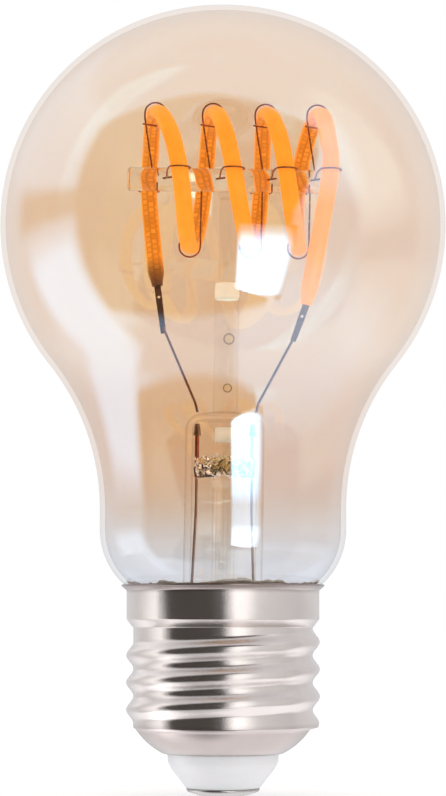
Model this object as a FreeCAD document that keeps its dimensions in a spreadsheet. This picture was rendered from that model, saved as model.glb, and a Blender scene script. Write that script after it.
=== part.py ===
"""A smart filament light bulb: amber glass on an E27 screw cap, with a coiled LED filament on a glass stem.

The frame has +Z up the bulb's axis and its origin at the centre of the contact's flat face. The glass stem
and all it carries lean a little in the bulb, as a hand-sealed stem does, so they share one tilted placement.
"""
import FreeCAD, Part

import math
import os

import Sketcher

Vector = FreeCAD.Vector

DIMENSIONS = {
    # Glass envelope
    "crown_height": 106.55,
    "crown_radius": 34.0,
    "shoulder_radius": 29.72,
    "shoulder_start": 4.2,
    "bulb_radius": 30.25,
    "bulb_height": 76.8,
    "throat_radius": 31.7,
    "throat_start": 23.58,
    "throat_start_height": 57.85,
    "waist_radius": 16.6,
    "waist_height": 38.0,
    "heel_height": 35.5,
    "heel_radius": 10.05,
    "heel_end_height": 27.26,
    "neck_radius": 12.35,
    "neck_end_height": 23.4,
    "glass_wall": 0.7,
    # Screw cap
    "rim_radius": 13.65,
    "rim_height": 28.05,
    "skirt_radius": 12.95,
    "skirt_top": 27.3,
    "skirt_bottom": 23.2,
    "root_radius": 12.05,
    "root_top": 22.3,
    "root_bottom": 9.3,
    "bowl_curve": 9.5,
    "bowl_edge_radius": 8.0,
    "bowl_edge_height": 5.5,
    "shell_sheet": 0.25,
    "thread_crest_radius": 13.05,
    "thread_crest_curve": 1.025,
    "thread_pitch": 3.629,
    "thread_start": 9.5,
    "thread_rise": 11.6,
    # Insulator and contact
    "insulator_radius": 7.45,
    "insulator_shoulder_height": 4.5,
    "insulator_waist": 6.2,
    "insulator_waist_height": 2.6,
    "insulator_waist_curve": 6.0,
    "insulator_nose": 4.95,
    "insulator_top": 7.5,
    "flange_radius": 8.95,
    "flange_height": 7.1,
    "contact_radius": 4.9,
    "contact_land": 3.2,
    "contact_edge": 0.63,
    "contact_thickness": 0.9,
    "rivet_radius": 1.4,
    "rivet_bore": 0.9,
    "rivet_mouth": 1.25,
    "rivet_mouth_depth": 0.36,
    "rivet_top": 7.7,
    "solder_radius": 0.85,
    "solder_bottom": 0.45,
    "solder_nose": 0.2,
    "solder_top": 1.6,
    "fit_gap": 0.02,
    # Stem
    "stem_tilt": 0.9,
    "tilt_height": 32.0,
    "stem_radius": 5.35,
    "stem_wall": 0.9,
    "dome_height": 51.2,
    "dome_corner": 2.2,
    "flare_height": 28.6,
    "stem_foot_radius": 11.5,
    "stem_foot_height": 25.0,
    "stem_foot_curve": 5.0,
    "seal_bottom": 42.3,
    "seal_height": 3.3,
    "seal_radius": 4.4,
    "seal_chamfer": 0.6,
    "seal_edge_curve": 0.8,
    "exhaust_radius": 1.5,
    "exhaust_wall": 0.45,
    "exhaust_end": 24.0,
    "exhaust_tip": 1.6,
    "exhaust_top": 49.2,
    "pillar_lower_radius": 1.68,
    "pillar_step_height": 68.9,
    "pillar_upper_radius": 1.18,
    "pillar_bead_radius": 1.43,
    "pillar_bead_height": 0.9,
    "rod_radius": 1.62,
    "rod_half_length": 13.8,
    "rod_height": 83.1,
    # Filament
    "coil_radius": 9.2,
    "strip_width": 1.25,
    "strip_thickness": 0.14,
    "silicone_width": 2.3,
    "silicone_thickness": 1.9,
    "chip_length": 0.9,
    "chip_width": 0.6,
    "chip_thickness": 0.2,
    "chip_spacing": 1.6,
    "tab_width": 0.9,
    "tab_thickness": 0.22,
    "support_wire_radius": 0.12,
    "support_wire_gap": 0.16,
    "lead_radius": 0.18,
    "dumet_radius": 0.3,
    "dumet_bottom": 42.4,
    "dumet_length": 5.65,
    "sleeve_bottom": 48.1,
    "sleeve_length": 1.6,
    "sleeve_wide": 0.55,
    "sleeve_narrow": 0.34,
    "lead_offset": 3.75,
    "weld_radius": 0.42,
    # Driver and radio
    "board_radius": 10.4,
    "board_thickness": 1.0,
    "board_height": 15.0,
    "capacitor_radius": 2.5,
    "capacitor_length": 9.0,
    "choke_radius": 2.6,
    "choke_height": 5.0,
    "fuse_radius": 1.15,
    "fuse_length": 4.6,
    "bridge_length": 4.7,
    "bridge_width": 3.9,
    "bridge_height": 1.6,
    "driver_chip_length": 4.9,
    "driver_chip_width": 3.9,
    "driver_chip_height": 1.5,
    "radio_length": 9.0,
    "radio_width": 6.0,
    "radio_thickness": 0.8,
    "shield_length": 6.4,
    "shield_width": 4.8,
    "shield_height": 1.3,
    "hookup_radius": 0.35,
}

# The knuckle that makes the thread: half its foot and half its brow, measured along the axis
KNUCKLE_FOOT = 1.4
KNUCKLE_BROW = 0.92
KNUCKLE_SINK = 0.12

# Where the filament's middle line stands along the rod at each quarter turn, from the left back strand on
QUARTER_TURNS = (-11.2, -10.2, -6.6, -5.2, -3.5, -2.3, 0.6, 3.1, 4.5, 4.9, 7.6, 9.6, 9.6, 12.0, 13.5)
LEFT_END = Vector(-9.7, 6.6, 69.4)
RIGHT_END = Vector(10.6, -6.4, 65.4)
TAIL_BOW = Vector(0.1, -0.7, 0)
SAMPLES_PER_QUARTER = 3
BARE_STRIP_ENDS = 8.0

# Ends of the tabs, and how the leads leave the stem's dome to reach them
LEFT_TAB_FOOT = Vector(-8.7, 5.7, 62.6)
RIGHT_TAB_FOOT = Vector(8.9, -5.6, 60.5)
LEFT_LEAD = (Vector(-3.75, 0, 51.3), Vector(-4.1, 0.35, 52.6))
RIGHT_LEAD = (Vector(4.18, 0, 51.3), Vector(4.5, -0.3, 52.6))
WELD_PLACE = 0.32
# Each lower lead as (share of the leads' offset, depth towards the back, height)
LOWER_LEAD = ((1.0, 0, 42.3), (1.0, 0, 38.0), (1.1, 0.2, 28.5), (1.3, 1.0, 19.0), (1.3, 1.0, 16.1))

# Support wires: where the foot stands along the rod from the strand, the knee's place from the strand,
# the first and last angle of the arc round the strand, and the crossbar's two ends
HOOK_ARC_STEPS = 8
FOOT_SINK = 0.25
TOP_FOOT, TOP_KNEE, TOP_ARC = -0.3, (-1.3, -1.5), (180, -35)
TOP_BAR = (Vector(-1.7, -0.1, -1.55), Vector(0.2, 0.3, -1.75))
FRONT_FOOT, FRONT_KNEE, FRONT_ARC = -1.9, (-1.6, 1.4), (180, 385)
FRONT_BAR = (Vector(-0.5, -0.1, -0.1), Vector(0.8, -0.1, 0.1))
BOTTOM_FOOT, BOTTOM_KNEE, BOTTOM_ARC = 1.5, (1.45, 1.4), (0, -215)
BACK_FOOT, BACK_KNEE, BACK_ARC = 1.4, (1.5, -1.4), (0, 200)

# Centres of the driver's components on the board, and the routes of its three wires
BRIDGE_PLACE = (5.6, 4.4)
DRIVER_CHIP_PLACE = (-0.4, -6.4)
RADIO_PLACE = (-1.6, 4.6)
SHIELD_PLACE = (-2.6, 4.6)
CAPACITOR_PLACE = 5.0
CHOKE_PLACE = (4.4, -4.6)
FUSE_PLACE = (-4.8, -3.6)
FUSE_STANDOFF = 0.6
ANTENNA_ROUTE = ((2.2, 4.6, 17.24), (2.2, 4.6, 19.5), (2.3, 4.2, 22.5), (2.3, 3.2, 25.5), (2.2, 2.8, 29.0))
CONTACT_ROUTE = (
    (0, 0, 1.65), (0, 0, 5.0), (0, 0, 8.2), (-0.9, -0.7, 9.2), (-2.9, -2.2, 9.3), (-4.8, -3.6, 9.3)
)
SHELL_ROUTE = ((8.6, -3.4, 14.9), (9.0, -3.6, 12.6), (10.3, -4.1, 11.0), (10.55, -4.2, 10.0))


class Size:
    """A length that carries both its value and the expression that binds it to the sheet."""

    def __init__(self, value, text):
        self.value = value
        self.text = text

    def joined(self, sign, other, value):
        text = other.text if isinstance(other, Size) else repr(other)
        return Size(value, f"({self.text} {sign} {text})")

    def __add__(self, other):
        return self.joined("+", other, self.value + plain(other))

    def __sub__(self, other):
        return self.joined("-", other, self.value - plain(other))

    def __mul__(self, other):
        return self.joined("*", other, self.value * plain(other))

    def root(self):
        return Size(math.sqrt(self.value), f"sqrt({self.text})")


def plain(length):
    return length.value if isinstance(length, Size) else float(length)


doc = FreeCAD.newDocument("FilamentBulb")
sheet = doc.addObject("Spreadsheet::Sheet", "dims")
for row, (alias, number) in enumerate(DIMENSIONS.items(), start=1):
    sheet.set(f"A{row}", alias)
    sheet.set(f"B{row}", str(number))
    sheet.setAlias(f"B{row}", alias)
doc.recompute()
dim = {alias: Size(sheet.get(alias), f"dims.{alias}") for alias in DIMENSIONS}

MOUNT_TILT = FreeCAD.Rotation(Vector(0, 1, 0), plain(dim["stem_tilt"]))
TILT_PIVOT = Vector(0, 0, plain(dim["tilt_height"]))
MOUNT_PLACEMENT = FreeCAD.Placement(TILT_PIVOT - MOUNT_TILT.multVec(TILT_PIVOT), MOUNT_TILT)
UPRIGHT = FreeCAD.Placement()

sub_parts = []


def keep(part, placement=UPRIGHT):
    """Gives a finished sub-part its place and lists it for writing."""
    part.Placement = placement
    sub_parts.append(part)
    return part


# Sketched bodies


def new_body(label):
    body = doc.addObject("PartDesign::Body", label)
    body.Label = label
    return body


def new_sketch(body, role, name):
    sketch = body.newObject("Sketcher::SketchObject", name)
    plane = next(item for item in body.Origin.OriginFeatures if item.Role == role)
    sketch.AttachmentSupport = [(plane, "")]
    sketch.MapMode = "FlatFace"
    return sketch


def edge_between(start, end, radius):
    """A straight edge, or an arc that turns left (radius above zero) or right (below zero)."""
    if radius is None:
        return Part.LineSegment(start, end)
    size = abs(plain(radius))
    chord = end - start
    left = Vector(-chord.y, chord.x, 0).normalize()
    rise = math.sqrt(max(size**2 - (chord.Length / 2) ** 2, 0))
    turns_left = plain(radius) > 0
    centre = (start + end) * 0.5 + left * (rise if turns_left else -rise)
    first, last = (start, end) if turns_left else (end, start)
    begin = math.atan2(first.y - centre.y, first.x - centre.x)
    finish = math.atan2(last.y - centre.y, last.x - centre.x)
    if finish < begin:
        finish += 2 * math.pi
    return Part.ArcOfCircle(Part.Circle(centre, Vector(0, 0, 1), size), begin, finish)


def bind_length(sketch, constraint, length):
    """Adds a sized constraint and ties it to the sheet."""
    index = sketch.addConstraint(constraint)
    if isinstance(length, Size):
        sketch.setExpression(f"Constraints[{index}]", length.text)


def draw_outline(sketch, corners):
    """Draws a closed outline of corners (across, up) or (across, up, arc radius of the edge that follows)."""
    places = [Vector(plain(corner[0]), plain(corner[1]), 0) for corner in corners]
    bends = [corner[2] if len(corner) > 2 else None for corner in corners]
    count = len(corners)
    first_point = []
    last_point = []
    for index in range(count):
        start, end = places[index], places[(index + 1) % count]
        sketch.addGeometry(edge_between(start, end, bends[index]), False)
        reversed_arc = bends[index] is not None and plain(bends[index]) < 0
        first_point.append(2 if reversed_arc else 1)
        last_point.append(1 if reversed_arc else 2)
    for index in range(count):
        after = (index + 1) % count
        sketch.addConstraint(
            Sketcher.Constraint("Coincident", index, last_point[index], after, first_point[after])
        )
    for index, corner in enumerate(corners):
        spot = first_point[index]
        for kind, axis, length in (("DistanceX", -2, corner[0]), ("DistanceY", -1, corner[1])):
            if plain(length) == 0:
                sketch.addConstraint(Sketcher.Constraint("PointOnObject", index, spot, axis))
            else:
                constraint = Sketcher.Constraint(kind, -1, 1, index, spot, plain(length))
                bind_length(sketch, constraint, length)
        if bends[index] is not None:
            size = abs(plain(bends[index]))
            bend = bends[index]
            if isinstance(bend, Size) and bend.value < 0:
                bend = Size(size, f"abs({bend.text})")
            bind_length(sketch, Sketcher.Constraint("Radius", index, size), bend)


def turned(label, corners, placement=UPRIGHT):
    """A body of revolution about Z. Corners are (radius, height) or (radius, height, arc radius)."""
    body = new_body(label)
    sketch = new_sketch(body, "XZ_Plane", f"{label}_outline")
    draw_outline(sketch, corners)
    feature = body.newObject("PartDesign::Revolution", f"{label}_turned")
    feature.Profile = sketch
    feature.ReferenceAxis = (sketch, ["V_Axis"])
    feature.Angle = 360.0
    sketch.Visibility = False
    return keep(body, placement)


# Primitives


def rod(label, radius, length, place, direction=Vector(0, 0, 1), placement=UPRIGHT):
    """A Part cylinder from a place along a direction."""
    part = doc.addObject("Part::Cylinder", label)
    part.Label = label
    part.setExpression("Radius", radius.text)
    part.setExpression("Height", length.text)
    turn = FreeCAD.Rotation(Vector(0, 0, 1), direction)
    return keep(part, placement.multiply(FreeCAD.Placement(place, turn)))


def cone(label, wide, narrow, length, place, placement):
    """A Part cone that narrows upwards."""
    part = doc.addObject("Part::Cone", label)
    part.Label = label
    part.setExpression("Radius1", wide.text)
    part.setExpression("Radius2", narrow.text)
    part.setExpression("Height", length.text)
    return keep(part, placement.multiply(FreeCAD.Placement(place, FreeCAD.Rotation())))


def ball(label, radius, centre, placement):
    """A Part sphere."""
    part = doc.addObject("Part::Sphere", label)
    part.Label = label
    part.setExpression("Radius", radius.text)
    return keep(part, placement.multiply(FreeCAD.Placement(centre, FreeCAD.Rotation())))


def block(label, length, width, height, centre, bottom):
    """A Part box centred on a point in X and Y, standing on a height."""
    part = doc.addObject("Part::Box", label)
    part.Label = label
    part.setExpression("Length", length.text)
    part.setExpression("Width", width.text)
    part.setExpression("Height", height.text)
    corner = Vector(centre[0] - plain(length) / 2, centre[1] - plain(width) / 2, bottom)
    return keep(part, FreeCAD.Placement(corner, FreeCAD.Rotation()))


def feature_of(label, shape, placement=UPRIGHT):
    """A Part feature for shapes that follow a free route through space."""
    part = doc.addObject("Part::Feature", label)
    part.Label = label
    part.Shape = shape
    return keep(part, placement)


# Wires


def smooth_route(points):
    curve = Part.BSplineCurve()
    curve.interpolate([Vector(*point) for point in points])
    return Part.Wire([curve.toShape()])


def round_wire(points, radius):
    """A round wire that follows a smooth curve through its points."""
    route = smooth_route(points)
    start = route.Edges[0].Vertexes[0].Point
    along = route.Edges[0].tangentAt(route.Edges[0].FirstParameter)
    section = Part.Wire([Part.makeCircle(plain(radius), start, along)])
    return route.makePipeShell([section], True, True)


def bent_wire(points, radius):
    """A round wire of straight runs with a ball at each bend."""
    size = plain(radius)
    runs = []
    for start, end in zip(points, points[1:]):
        runs.append(Part.makeCylinder(size, (end - start).Length, start, end - start))
    bends = [Part.makeSphere(size, point) for point in points[1:-1]]
    return runs[0].multiFuse(runs[1:] + bends)


# Glass envelope


def make_envelope():
    wall = dim["glass_wall"]
    crown = dim["crown_radius"]
    across = dim["shoulder_start"]
    # The crown's arc is centred on the axis, so its end lies lower than its top by this much.
    drop = crown - (crown * crown - across * across).root()
    inner_crown = crown - wall
    inner_drop = inner_crown - (inner_crown * inner_crown - across * across).root()
    outside = [
        (0, dim["crown_height"], crown * -1),
        (across, dim["crown_height"] - drop, dim["shoulder_radius"] * -1),
        (dim["bulb_radius"], dim["bulb_height"], dim["bulb_radius"] * -1),
        (dim["throat_start"], dim["throat_start_height"], dim["throat_radius"]),
        (dim["waist_radius"], dim["waist_height"]),
        (dim["waist_radius"], dim["heel_height"], dim["heel_radius"] * -1),
        (dim["neck_radius"], dim["heel_end_height"]),
        (dim["neck_radius"], dim["neck_end_height"]),
    ]
    # The inner wall follows the outer one. The throat starts where both walls share a normal.
    slope = math.atan2(plain(dim["bulb_height"] - dim["throat_start_height"]), plain(dim["throat_start"]))
    inside = [
        (dim["neck_radius"] - wall, dim["neck_end_height"]),
        (dim["neck_radius"] - wall, dim["heel_end_height"] + wall * 0.45, dim["heel_radius"] - wall),
        (dim["waist_radius"] - wall, dim["heel_height"]),
        (dim["waist_radius"] - wall, dim["waist_height"], (dim["throat_radius"] + wall) * -1),
        (
            dim["throat_start"] - wall * math.cos(slope),
            dim["throat_start_height"] + wall * math.sin(slope),
            dim["bulb_radius"] - wall,
        ),
        (dim["bulb_radius"] - wall, dim["bulb_height"], dim["shoulder_radius"] - wall),
        (across, dim["crown_height"] - wall - inner_drop, inner_crown),
        (0, dim["crown_height"] - wall),
    ]
    turned("glass_envelope", outside + inside)


# Screw cap


def make_screw_shell():
    """The rolled shell: rim, skirt, threaded barrel and bowl, with the thread as a helical knuckle."""
    thin = dim["shell_sheet"]
    outside = [
        (dim["rim_radius"], dim["rim_height"]),
        (dim["rim_radius"], dim["rim_height"] - thin),
        (dim["skirt_radius"], dim["skirt_top"]),
        (dim["skirt_radius"], dim["skirt_bottom"]),
        (dim["root_radius"], dim["root_top"]),
        (dim["root_radius"], dim["root_bottom"], dim["bowl_curve"] * -1),
        (dim["bowl_edge_radius"], dim["bowl_edge_height"]),
    ]
    inside = [
        (dim["bowl_edge_radius"] - 0.1, dim["bowl_edge_height"] + thin, dim["bowl_curve"] - thin),
        (dim["root_radius"] - thin, dim["root_bottom"]),
        (dim["root_radius"] - thin, dim["root_top"]),
        (dim["skirt_radius"] - thin, dim["skirt_bottom"]),
        (dim["skirt_radius"] - thin, dim["skirt_top"] + thin),
        (dim["rim_radius"] - thin, dim["rim_height"]),
    ]
    body = new_body("screw_shell")
    wall = new_sketch(body, "XZ_Plane", "shell_outline")
    draw_outline(wall, outside + inside)
    shell = body.newObject("PartDesign::Revolution", "shell_turned")
    shell.Profile = wall
    shell.ReferenceAxis = (wall, ["V_Axis"])
    shell.Angle = 360.0
    doc.recompute()
    knuckle = new_sketch(body, "XZ_Plane", "thread_knuckle")
    foot_radius = dim["root_radius"] - KNUCKLE_SINK
    crest_centre = dim["thread_crest_radius"] - dim["thread_crest_curve"]
    brow_radius = crest_centre + math.sqrt(plain(dim["thread_crest_curve"]) ** 2 - KNUCKLE_BROW**2)
    draw_outline(
        knuckle,
        [
            (foot_radius, dim["thread_start"] - KNUCKLE_FOOT),
            (brow_radius, dim["thread_start"] - KNUCKLE_BROW, dim["thread_crest_curve"]),
            (brow_radius, dim["thread_start"] + KNUCKLE_BROW),
            (foot_radius, dim["thread_start"] + KNUCKLE_FOOT),
        ],
    )
    thread = body.newObject("PartDesign::AdditiveHelix", "thread")
    thread.Profile = knuckle
    thread.ReferenceAxis = (knuckle, ["V_Axis"])
    thread.Mode = 0
    thread.setExpression("Pitch", dim["thread_pitch"].text)
    thread.setExpression("Height", dim["thread_rise"].text)
    thread.LeftHanded = False
    thread.Reversed = False
    body.Tip = thread
    keep(body)


def make_cap_end():
    """Insulator, contact and the ring of cement under the rim."""
    gap = dim["fit_gap"]
    rivet_hole = dim["rivet_radius"] + gap
    turned(
        "insulator",
        [
            (rivet_hole, dim["contact_thickness"]),
            (dim["insulator_nose"], dim["contact_thickness"]),
            (dim["insulator_waist"], dim["insulator_waist_height"], dim["insulator_waist_curve"]),
            (dim["insulator_radius"], dim["insulator_shoulder_height"]),
            (dim["insulator_radius"], dim["bowl_edge_height"] + dim["shell_sheet"] * 2),
            (dim["flange_radius"], dim["flange_height"]),
            (dim["flange_radius"] - dim["shell_sheet"], dim["insulator_top"]),
            (rivet_hole, dim["insulator_top"]),
        ],
    )
    turned(
        "centre_contact",
        [
            (dim["rivet_bore"], dim["rivet_mouth_depth"]),
            (dim["rivet_mouth"], 0),
            (dim["contact_land"], 0),
            (dim["contact_radius"], dim["contact_edge"]),
            (dim["contact_radius"], dim["contact_thickness"]),
            (dim["rivet_radius"], dim["contact_thickness"]),
            (dim["rivet_radius"], dim["rivet_top"]),
            (dim["rivet_bore"], dim["rivet_top"]),
        ],
    )
    turned(
        "contact_solder",
        [
            (0, dim["solder_nose"]),
            (dim["solder_radius"], dim["solder_bottom"]),
            (dim["solder_radius"], dim["solder_top"]),
            (0, dim["solder_top"]),
        ],
    )
    cement_outer = dim["skirt_radius"] - dim["shell_sheet"] - gap
    turned(
        "cap_cement",
        [
            (dim["neck_radius"] + gap, dim["neck_end_height"]),
            (cement_outer, dim["neck_end_height"]),
            (cement_outer, dim["heel_end_height"]),
            (dim["neck_radius"] + gap, dim["heel_end_height"]),
        ],
    )


# Glass stem


def make_stem_tube():
    """The flared tube with its closed dome, which is sealed to the neck at its foot."""
    wall = dim["stem_wall"]
    outer = dim["stem_radius"]
    corner = dim["dome_corner"]
    foot_inner = dim["stem_foot_radius"] - wall
    foot_bottom = dim["stem_foot_height"] - wall
    turned(
        "stem_flare",
        [
            (0, dim["dome_height"]),
            (outer - corner, dim["dome_height"], corner * -1),
            (outer, dim["dome_height"] - corner),
            (outer, dim["flare_height"], dim["stem_foot_curve"]),
            (dim["stem_foot_radius"], dim["stem_foot_height"]),
            (dim["stem_foot_radius"], foot_bottom),
            (foot_inner, foot_bottom, dim["stem_foot_curve"] * -1),
            (outer - wall, dim["flare_height"] - wall),
            (outer - wall, dim["dome_height"] - corner, corner - wall),
            (outer - corner, dim["dome_height"] - wall),
            (0, dim["dome_height"] - wall),
        ],
        MOUNT_PLACEMENT,
    )


def make_press_seal():
    """The glass pressed round the leads inside the tube, with a hole for each lead."""
    gap = dim["fit_gap"]
    tube_hole = dim["exhaust_radius"] + gap
    seal_top = dim["seal_bottom"] + dim["seal_height"]
    chamfer = dim["seal_chamfer"]
    seal = turned(
        "press_seal",
        [
            (tube_hole, dim["seal_bottom"]),
            (dim["seal_radius"], dim["seal_bottom"]),
            (dim["seal_radius"], seal_top - chamfer, dim["seal_edge_curve"]),
            (dim["seal_radius"] - chamfer, seal_top),
            (tube_hole, seal_top),
        ],
        MOUNT_PLACEMENT,
    )
    doc.recompute()
    holes = new_sketch(seal, "XY_Plane", "seal_wire_holes")
    hole_radius = dim["dumet_radius"] + gap
    for side in (-1, 1):
        centre = Vector(side * plain(dim["lead_offset"]), 0, 0)
        index = holes.addGeometry(Part.Circle(centre, Vector(0, 0, 1), plain(hole_radius)), False)
        bind_length(holes, Sketcher.Constraint("Radius", index, plain(hole_radius)), hole_radius)
    through = seal.newObject("PartDesign::Pocket", "seal_wires_through")
    through.Profile = holes
    through.Type = "ThroughAll"
    through.Reversed = True
    seal.Tip = through


def make_exhaust_tube():
    """The pumping tube, drawn to a closed tip below the seal."""
    outer = dim["exhaust_radius"]
    bore = outer - dim["exhaust_wall"]
    tip = dim["exhaust_end"] + dim["exhaust_tip"]
    turned(
        "exhaust_tube",
        [
            (0, dim["exhaust_end"]),
            (outer * 0.5, dim["exhaust_end"] + dim["exhaust_tip"] * 0.25),
            (outer, tip),
            (outer, dim["exhaust_top"]),
            (bore, dim["exhaust_top"]),
            (bore, tip),
            (0, dim["exhaust_end"] + dim["exhaust_tip"] * 0.5),
        ],
        MOUNT_PLACEMENT,
    )


def make_pillar():
    """The stepped pillar on the dome, the bead on its top and the rod that carries the coil."""
    step = dim["pillar_step_height"]
    rod(
        "pillar_lower", dim["pillar_lower_radius"], step - dim["dome_height"],
        Vector(0, 0, plain(dim["dome_height"])), placement=MOUNT_PLACEMENT,
    )
    bead_bottom = dim["rod_height"] - dim["rod_radius"] - dim["pillar_bead_height"]
    rod(
        "pillar_upper", dim["pillar_upper_radius"], bead_bottom - step,
        Vector(0, 0, plain(step)), placement=MOUNT_PLACEMENT,
    )
    turned(
        "pillar_joint",
        [
            (0, bead_bottom),
            (dim["pillar_bead_radius"], bead_bottom),
            (dim["pillar_upper_radius"], bead_bottom + dim["pillar_bead_height"]),
            (0, bead_bottom + dim["pillar_bead_height"]),
        ],
        MOUNT_PLACEMENT,
    )
    rod(
        "cross_rod", dim["rod_radius"], dim["rod_half_length"] * 2,
        Vector(-plain(dim["rod_half_length"]), 0, plain(dim["rod_height"])), Vector(1, 0, 0), MOUNT_PLACEMENT,
    )


# Filament


def along_rod(quarters):
    """Where the filament stands along the rod after a number of quarter turns, eased between them."""
    last = len(QUARTER_TURNS) - 1
    index = min(int(quarters), last - 1)
    part = quarters - index
    before = QUARTER_TURNS[max(index - 1, 0)]
    here, after = QUARTER_TURNS[index], QUARTER_TURNS[index + 1]
    beyond = QUARTER_TURNS[min(index + 2, last)]
    start_slope = (after - before) / 2
    end_slope = (beyond - here) / 2
    drift = after - here
    return (
        here
        + start_slope * part
        + (3 * drift - 2 * start_slope - end_slope) * part**2
        + (start_slope + end_slope - 2 * drift) * part**3
    )


def coil_point(quarters, radius):
    """A point of the coil about the rod. It starts at the back and goes over the top to the front."""
    angle = math.radians(90 * (quarters - 1))
    height = plain(dim["rod_height"]) + radius * math.cos(angle)
    return Vector(along_rod(quarters), -radius * math.sin(angle), height)


def filament_route():
    """The filament's middle line: left tail, coil, right tail."""
    radius = plain(dim["coil_radius"])
    count = (len(QUARTER_TURNS) - 1) * SAMPLES_PER_QUARTER
    coil = [coil_point(step / SAMPLES_PER_QUARTER, radius) for step in range(count + 1)]
    left = [LEFT_END, (LEFT_END + coil[0]) * 0.5 - TAIL_BOW]
    right = [(RIGHT_END + coil[-1]) * 0.5 + TAIL_BOW, RIGHT_END]
    curve = Part.BSplineCurve()
    curve.interpolate(left + coil + right)
    return curve


def swept_strip(route, section):
    """Sweeps a flat section along the route with its width kept along the rod."""
    shell = Part.BRepOffsetAPI.MakePipeShell(route)
    shell.setBiNormalMode(Vector(1, 0, 0))
    shell.add(section)
    shell.build()
    shell.makeSolid()
    return shell.shape()


def frame_at(curve, parameter):
    """Point, travel, width and thickness directions of the filament at a parameter."""
    point = curve.value(parameter)
    travel = Vector(*curve.tangent(parameter)[0])
    across = Vector(1, 0, 0) - travel * travel.x
    across.normalize()
    return point, travel, across, travel.cross(across)


def rectangle_at(frame, width, thickness, lift=0.0):
    point, _, across, outward = frame
    centre = point + outward * lift
    corners = [
        centre + across * (side * width / 2) + outward * (face * thickness / 2)
        for side, face in ((-1, -1), (1, -1), (1, 1), (-1, 1))
    ]
    return Part.makePolygon(corners + corners[:1])


def oval_at(frame, width, thickness):
    point, _, across, outward = frame
    oval = Part.Ellipse(point + across * (width / 2), point + outward * (thickness / 2), point)
    return Part.Wire([oval.toShape()])


def make_filament():
    curve = filament_route()
    route = Part.Wire([curve.toShape()])
    start = frame_at(curve, curve.FirstParameter)
    strip_width = plain(dim["strip_width"])
    strip_thickness = plain(dim["strip_thickness"])
    chip_thickness = plain(dim["chip_thickness"])
    strip = swept_strip(route, rectangle_at(start, strip_width, strip_thickness))
    feature_of("filament_substrate", strip, MOUNT_PLACEMENT)
    gap = plain(dim["fit_gap"])
    coat = swept_strip(
        route, oval_at(start, plain(dim["silicone_width"]), plain(dim["silicone_thickness"]))
    )
    room_height = strip_thickness + 2 * (chip_thickness + 2 * gap)
    room = swept_strip(route, rectangle_at(start, strip_width + gap, room_height))
    feature_of("filament_silicone", coat.cut(room), MOUNT_PLACEMENT)
    chips = []
    spacing = plain(dim["chip_spacing"])
    total = curve.length()
    count = int((total - BARE_STRIP_ENDS) / spacing)
    first = (total - (count - 1) * spacing) / 2
    for index in range(count):
        parameter = curve.parameterAtDistance(first + index * spacing)
        point, travel, across, outward = frame_at(curve, parameter)
        lift = (strip_thickness + chip_thickness + gap) / 2
        outline = rectangle_at(
            (point - travel * (plain(dim["chip_length"]) / 2), travel, across, outward),
            plain(dim["chip_width"]),
            chip_thickness,
            lift,
        )
        chips.append(Part.Face(outline).extrude(travel * plain(dim["chip_length"])))
    feature_of("led_chips", Part.makeCompound(chips), MOUNT_PLACEMENT)


# Leads


def make_tab(label, top, foot):
    """A flat end strip of the filament, from the end of the silicone down to the lead."""
    travel = (foot - top).normalize()
    across = (Vector(1, 0, 0) - travel * travel.x).normalize()
    start = top + travel * (2 * plain(dim["fit_gap"]))
    frame = (start, travel, across, travel.cross(across))
    outline = rectangle_at(frame, plain(dim["tab_width"]), plain(dim["tab_thickness"]))
    feature_of(label, Part.Face(outline).extrude(foot - start), MOUNT_PLACEMENT)


def make_lead(side, sign, tab_top, tab_foot, dome_run):
    """One side's tab, weld and lead: nickel above the dome, Dumet in the seal, nickel down to the board."""
    thin = dim["lead_radius"]
    make_tab(f"tab_{side}", tab_top, tab_foot)
    beside_tab = Vector(0, sign * (plain(dim["tab_thickness"]) / 2 + plain(thin) + plain(dim["fit_gap"])), 0)
    lead_end = tab_foot + (tab_top - tab_foot) * WELD_PLACE * 0.5 + beside_tab
    feature_of(f"lead_upper_{side}", bent_wire([*dome_run, lead_end], thin), MOUNT_PLACEMENT)
    ball(f"weld_{side}", dim["weld_radius"], lead_end, MOUNT_PLACEMENT)
    across = sign * plain(dim["lead_offset"])
    cone(
        f"lead_sleeve_{side}", dim["sleeve_wide"], dim["sleeve_narrow"], dim["sleeve_length"],
        Vector(across, 0, plain(dim["sleeve_bottom"])), MOUNT_PLACEMENT,
    )
    rod(
        f"lead_dumet_{side}", dim["dumet_radius"], dim["dumet_length"],
        Vector(across, 0, plain(dim["dumet_bottom"])), placement=MOUNT_PLACEMENT,
    )
    lower = [Vector(across * share, depth, height) for share, depth, height in LOWER_LEAD]
    feature_of(f"lead_lower_{side}", bent_wire(lower, thin), MOUNT_PLACEMENT)


# Support hooks


def hook(centre, right, up, leg, sweep, crossbar=None):
    """A leg from the rod and an arc round the strand, in the plane of right and up.

    sweep is the arc's first and last angle from right, in degrees. crossbar is a short bar's two ends.
    """
    wire_radius = plain(dim["support_wire_radius"])
    reach = plain(dim["silicone_width"]) / 2 + wire_radius + plain(dim["support_wire_gap"])
    first, last = sweep
    arc = []
    for step in range(HOOK_ARC_STEPS + 1):
        angle = math.radians(first + (last - first) * step / HOOK_ARC_STEPS)
        arc.append(centre + right * (reach * math.cos(angle)) + up * (reach * math.sin(angle)))
    wire = round_wire(leg + arc, dim["support_wire_radius"])
    if crossbar is None:
        return [wire]
    bar_start, bar_end = crossbar
    bar = Part.makeCylinder(wire_radius, (bar_end - bar_start).Length, bar_start, bar_end - bar_start)
    return [wire.fuse(bar)]


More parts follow.
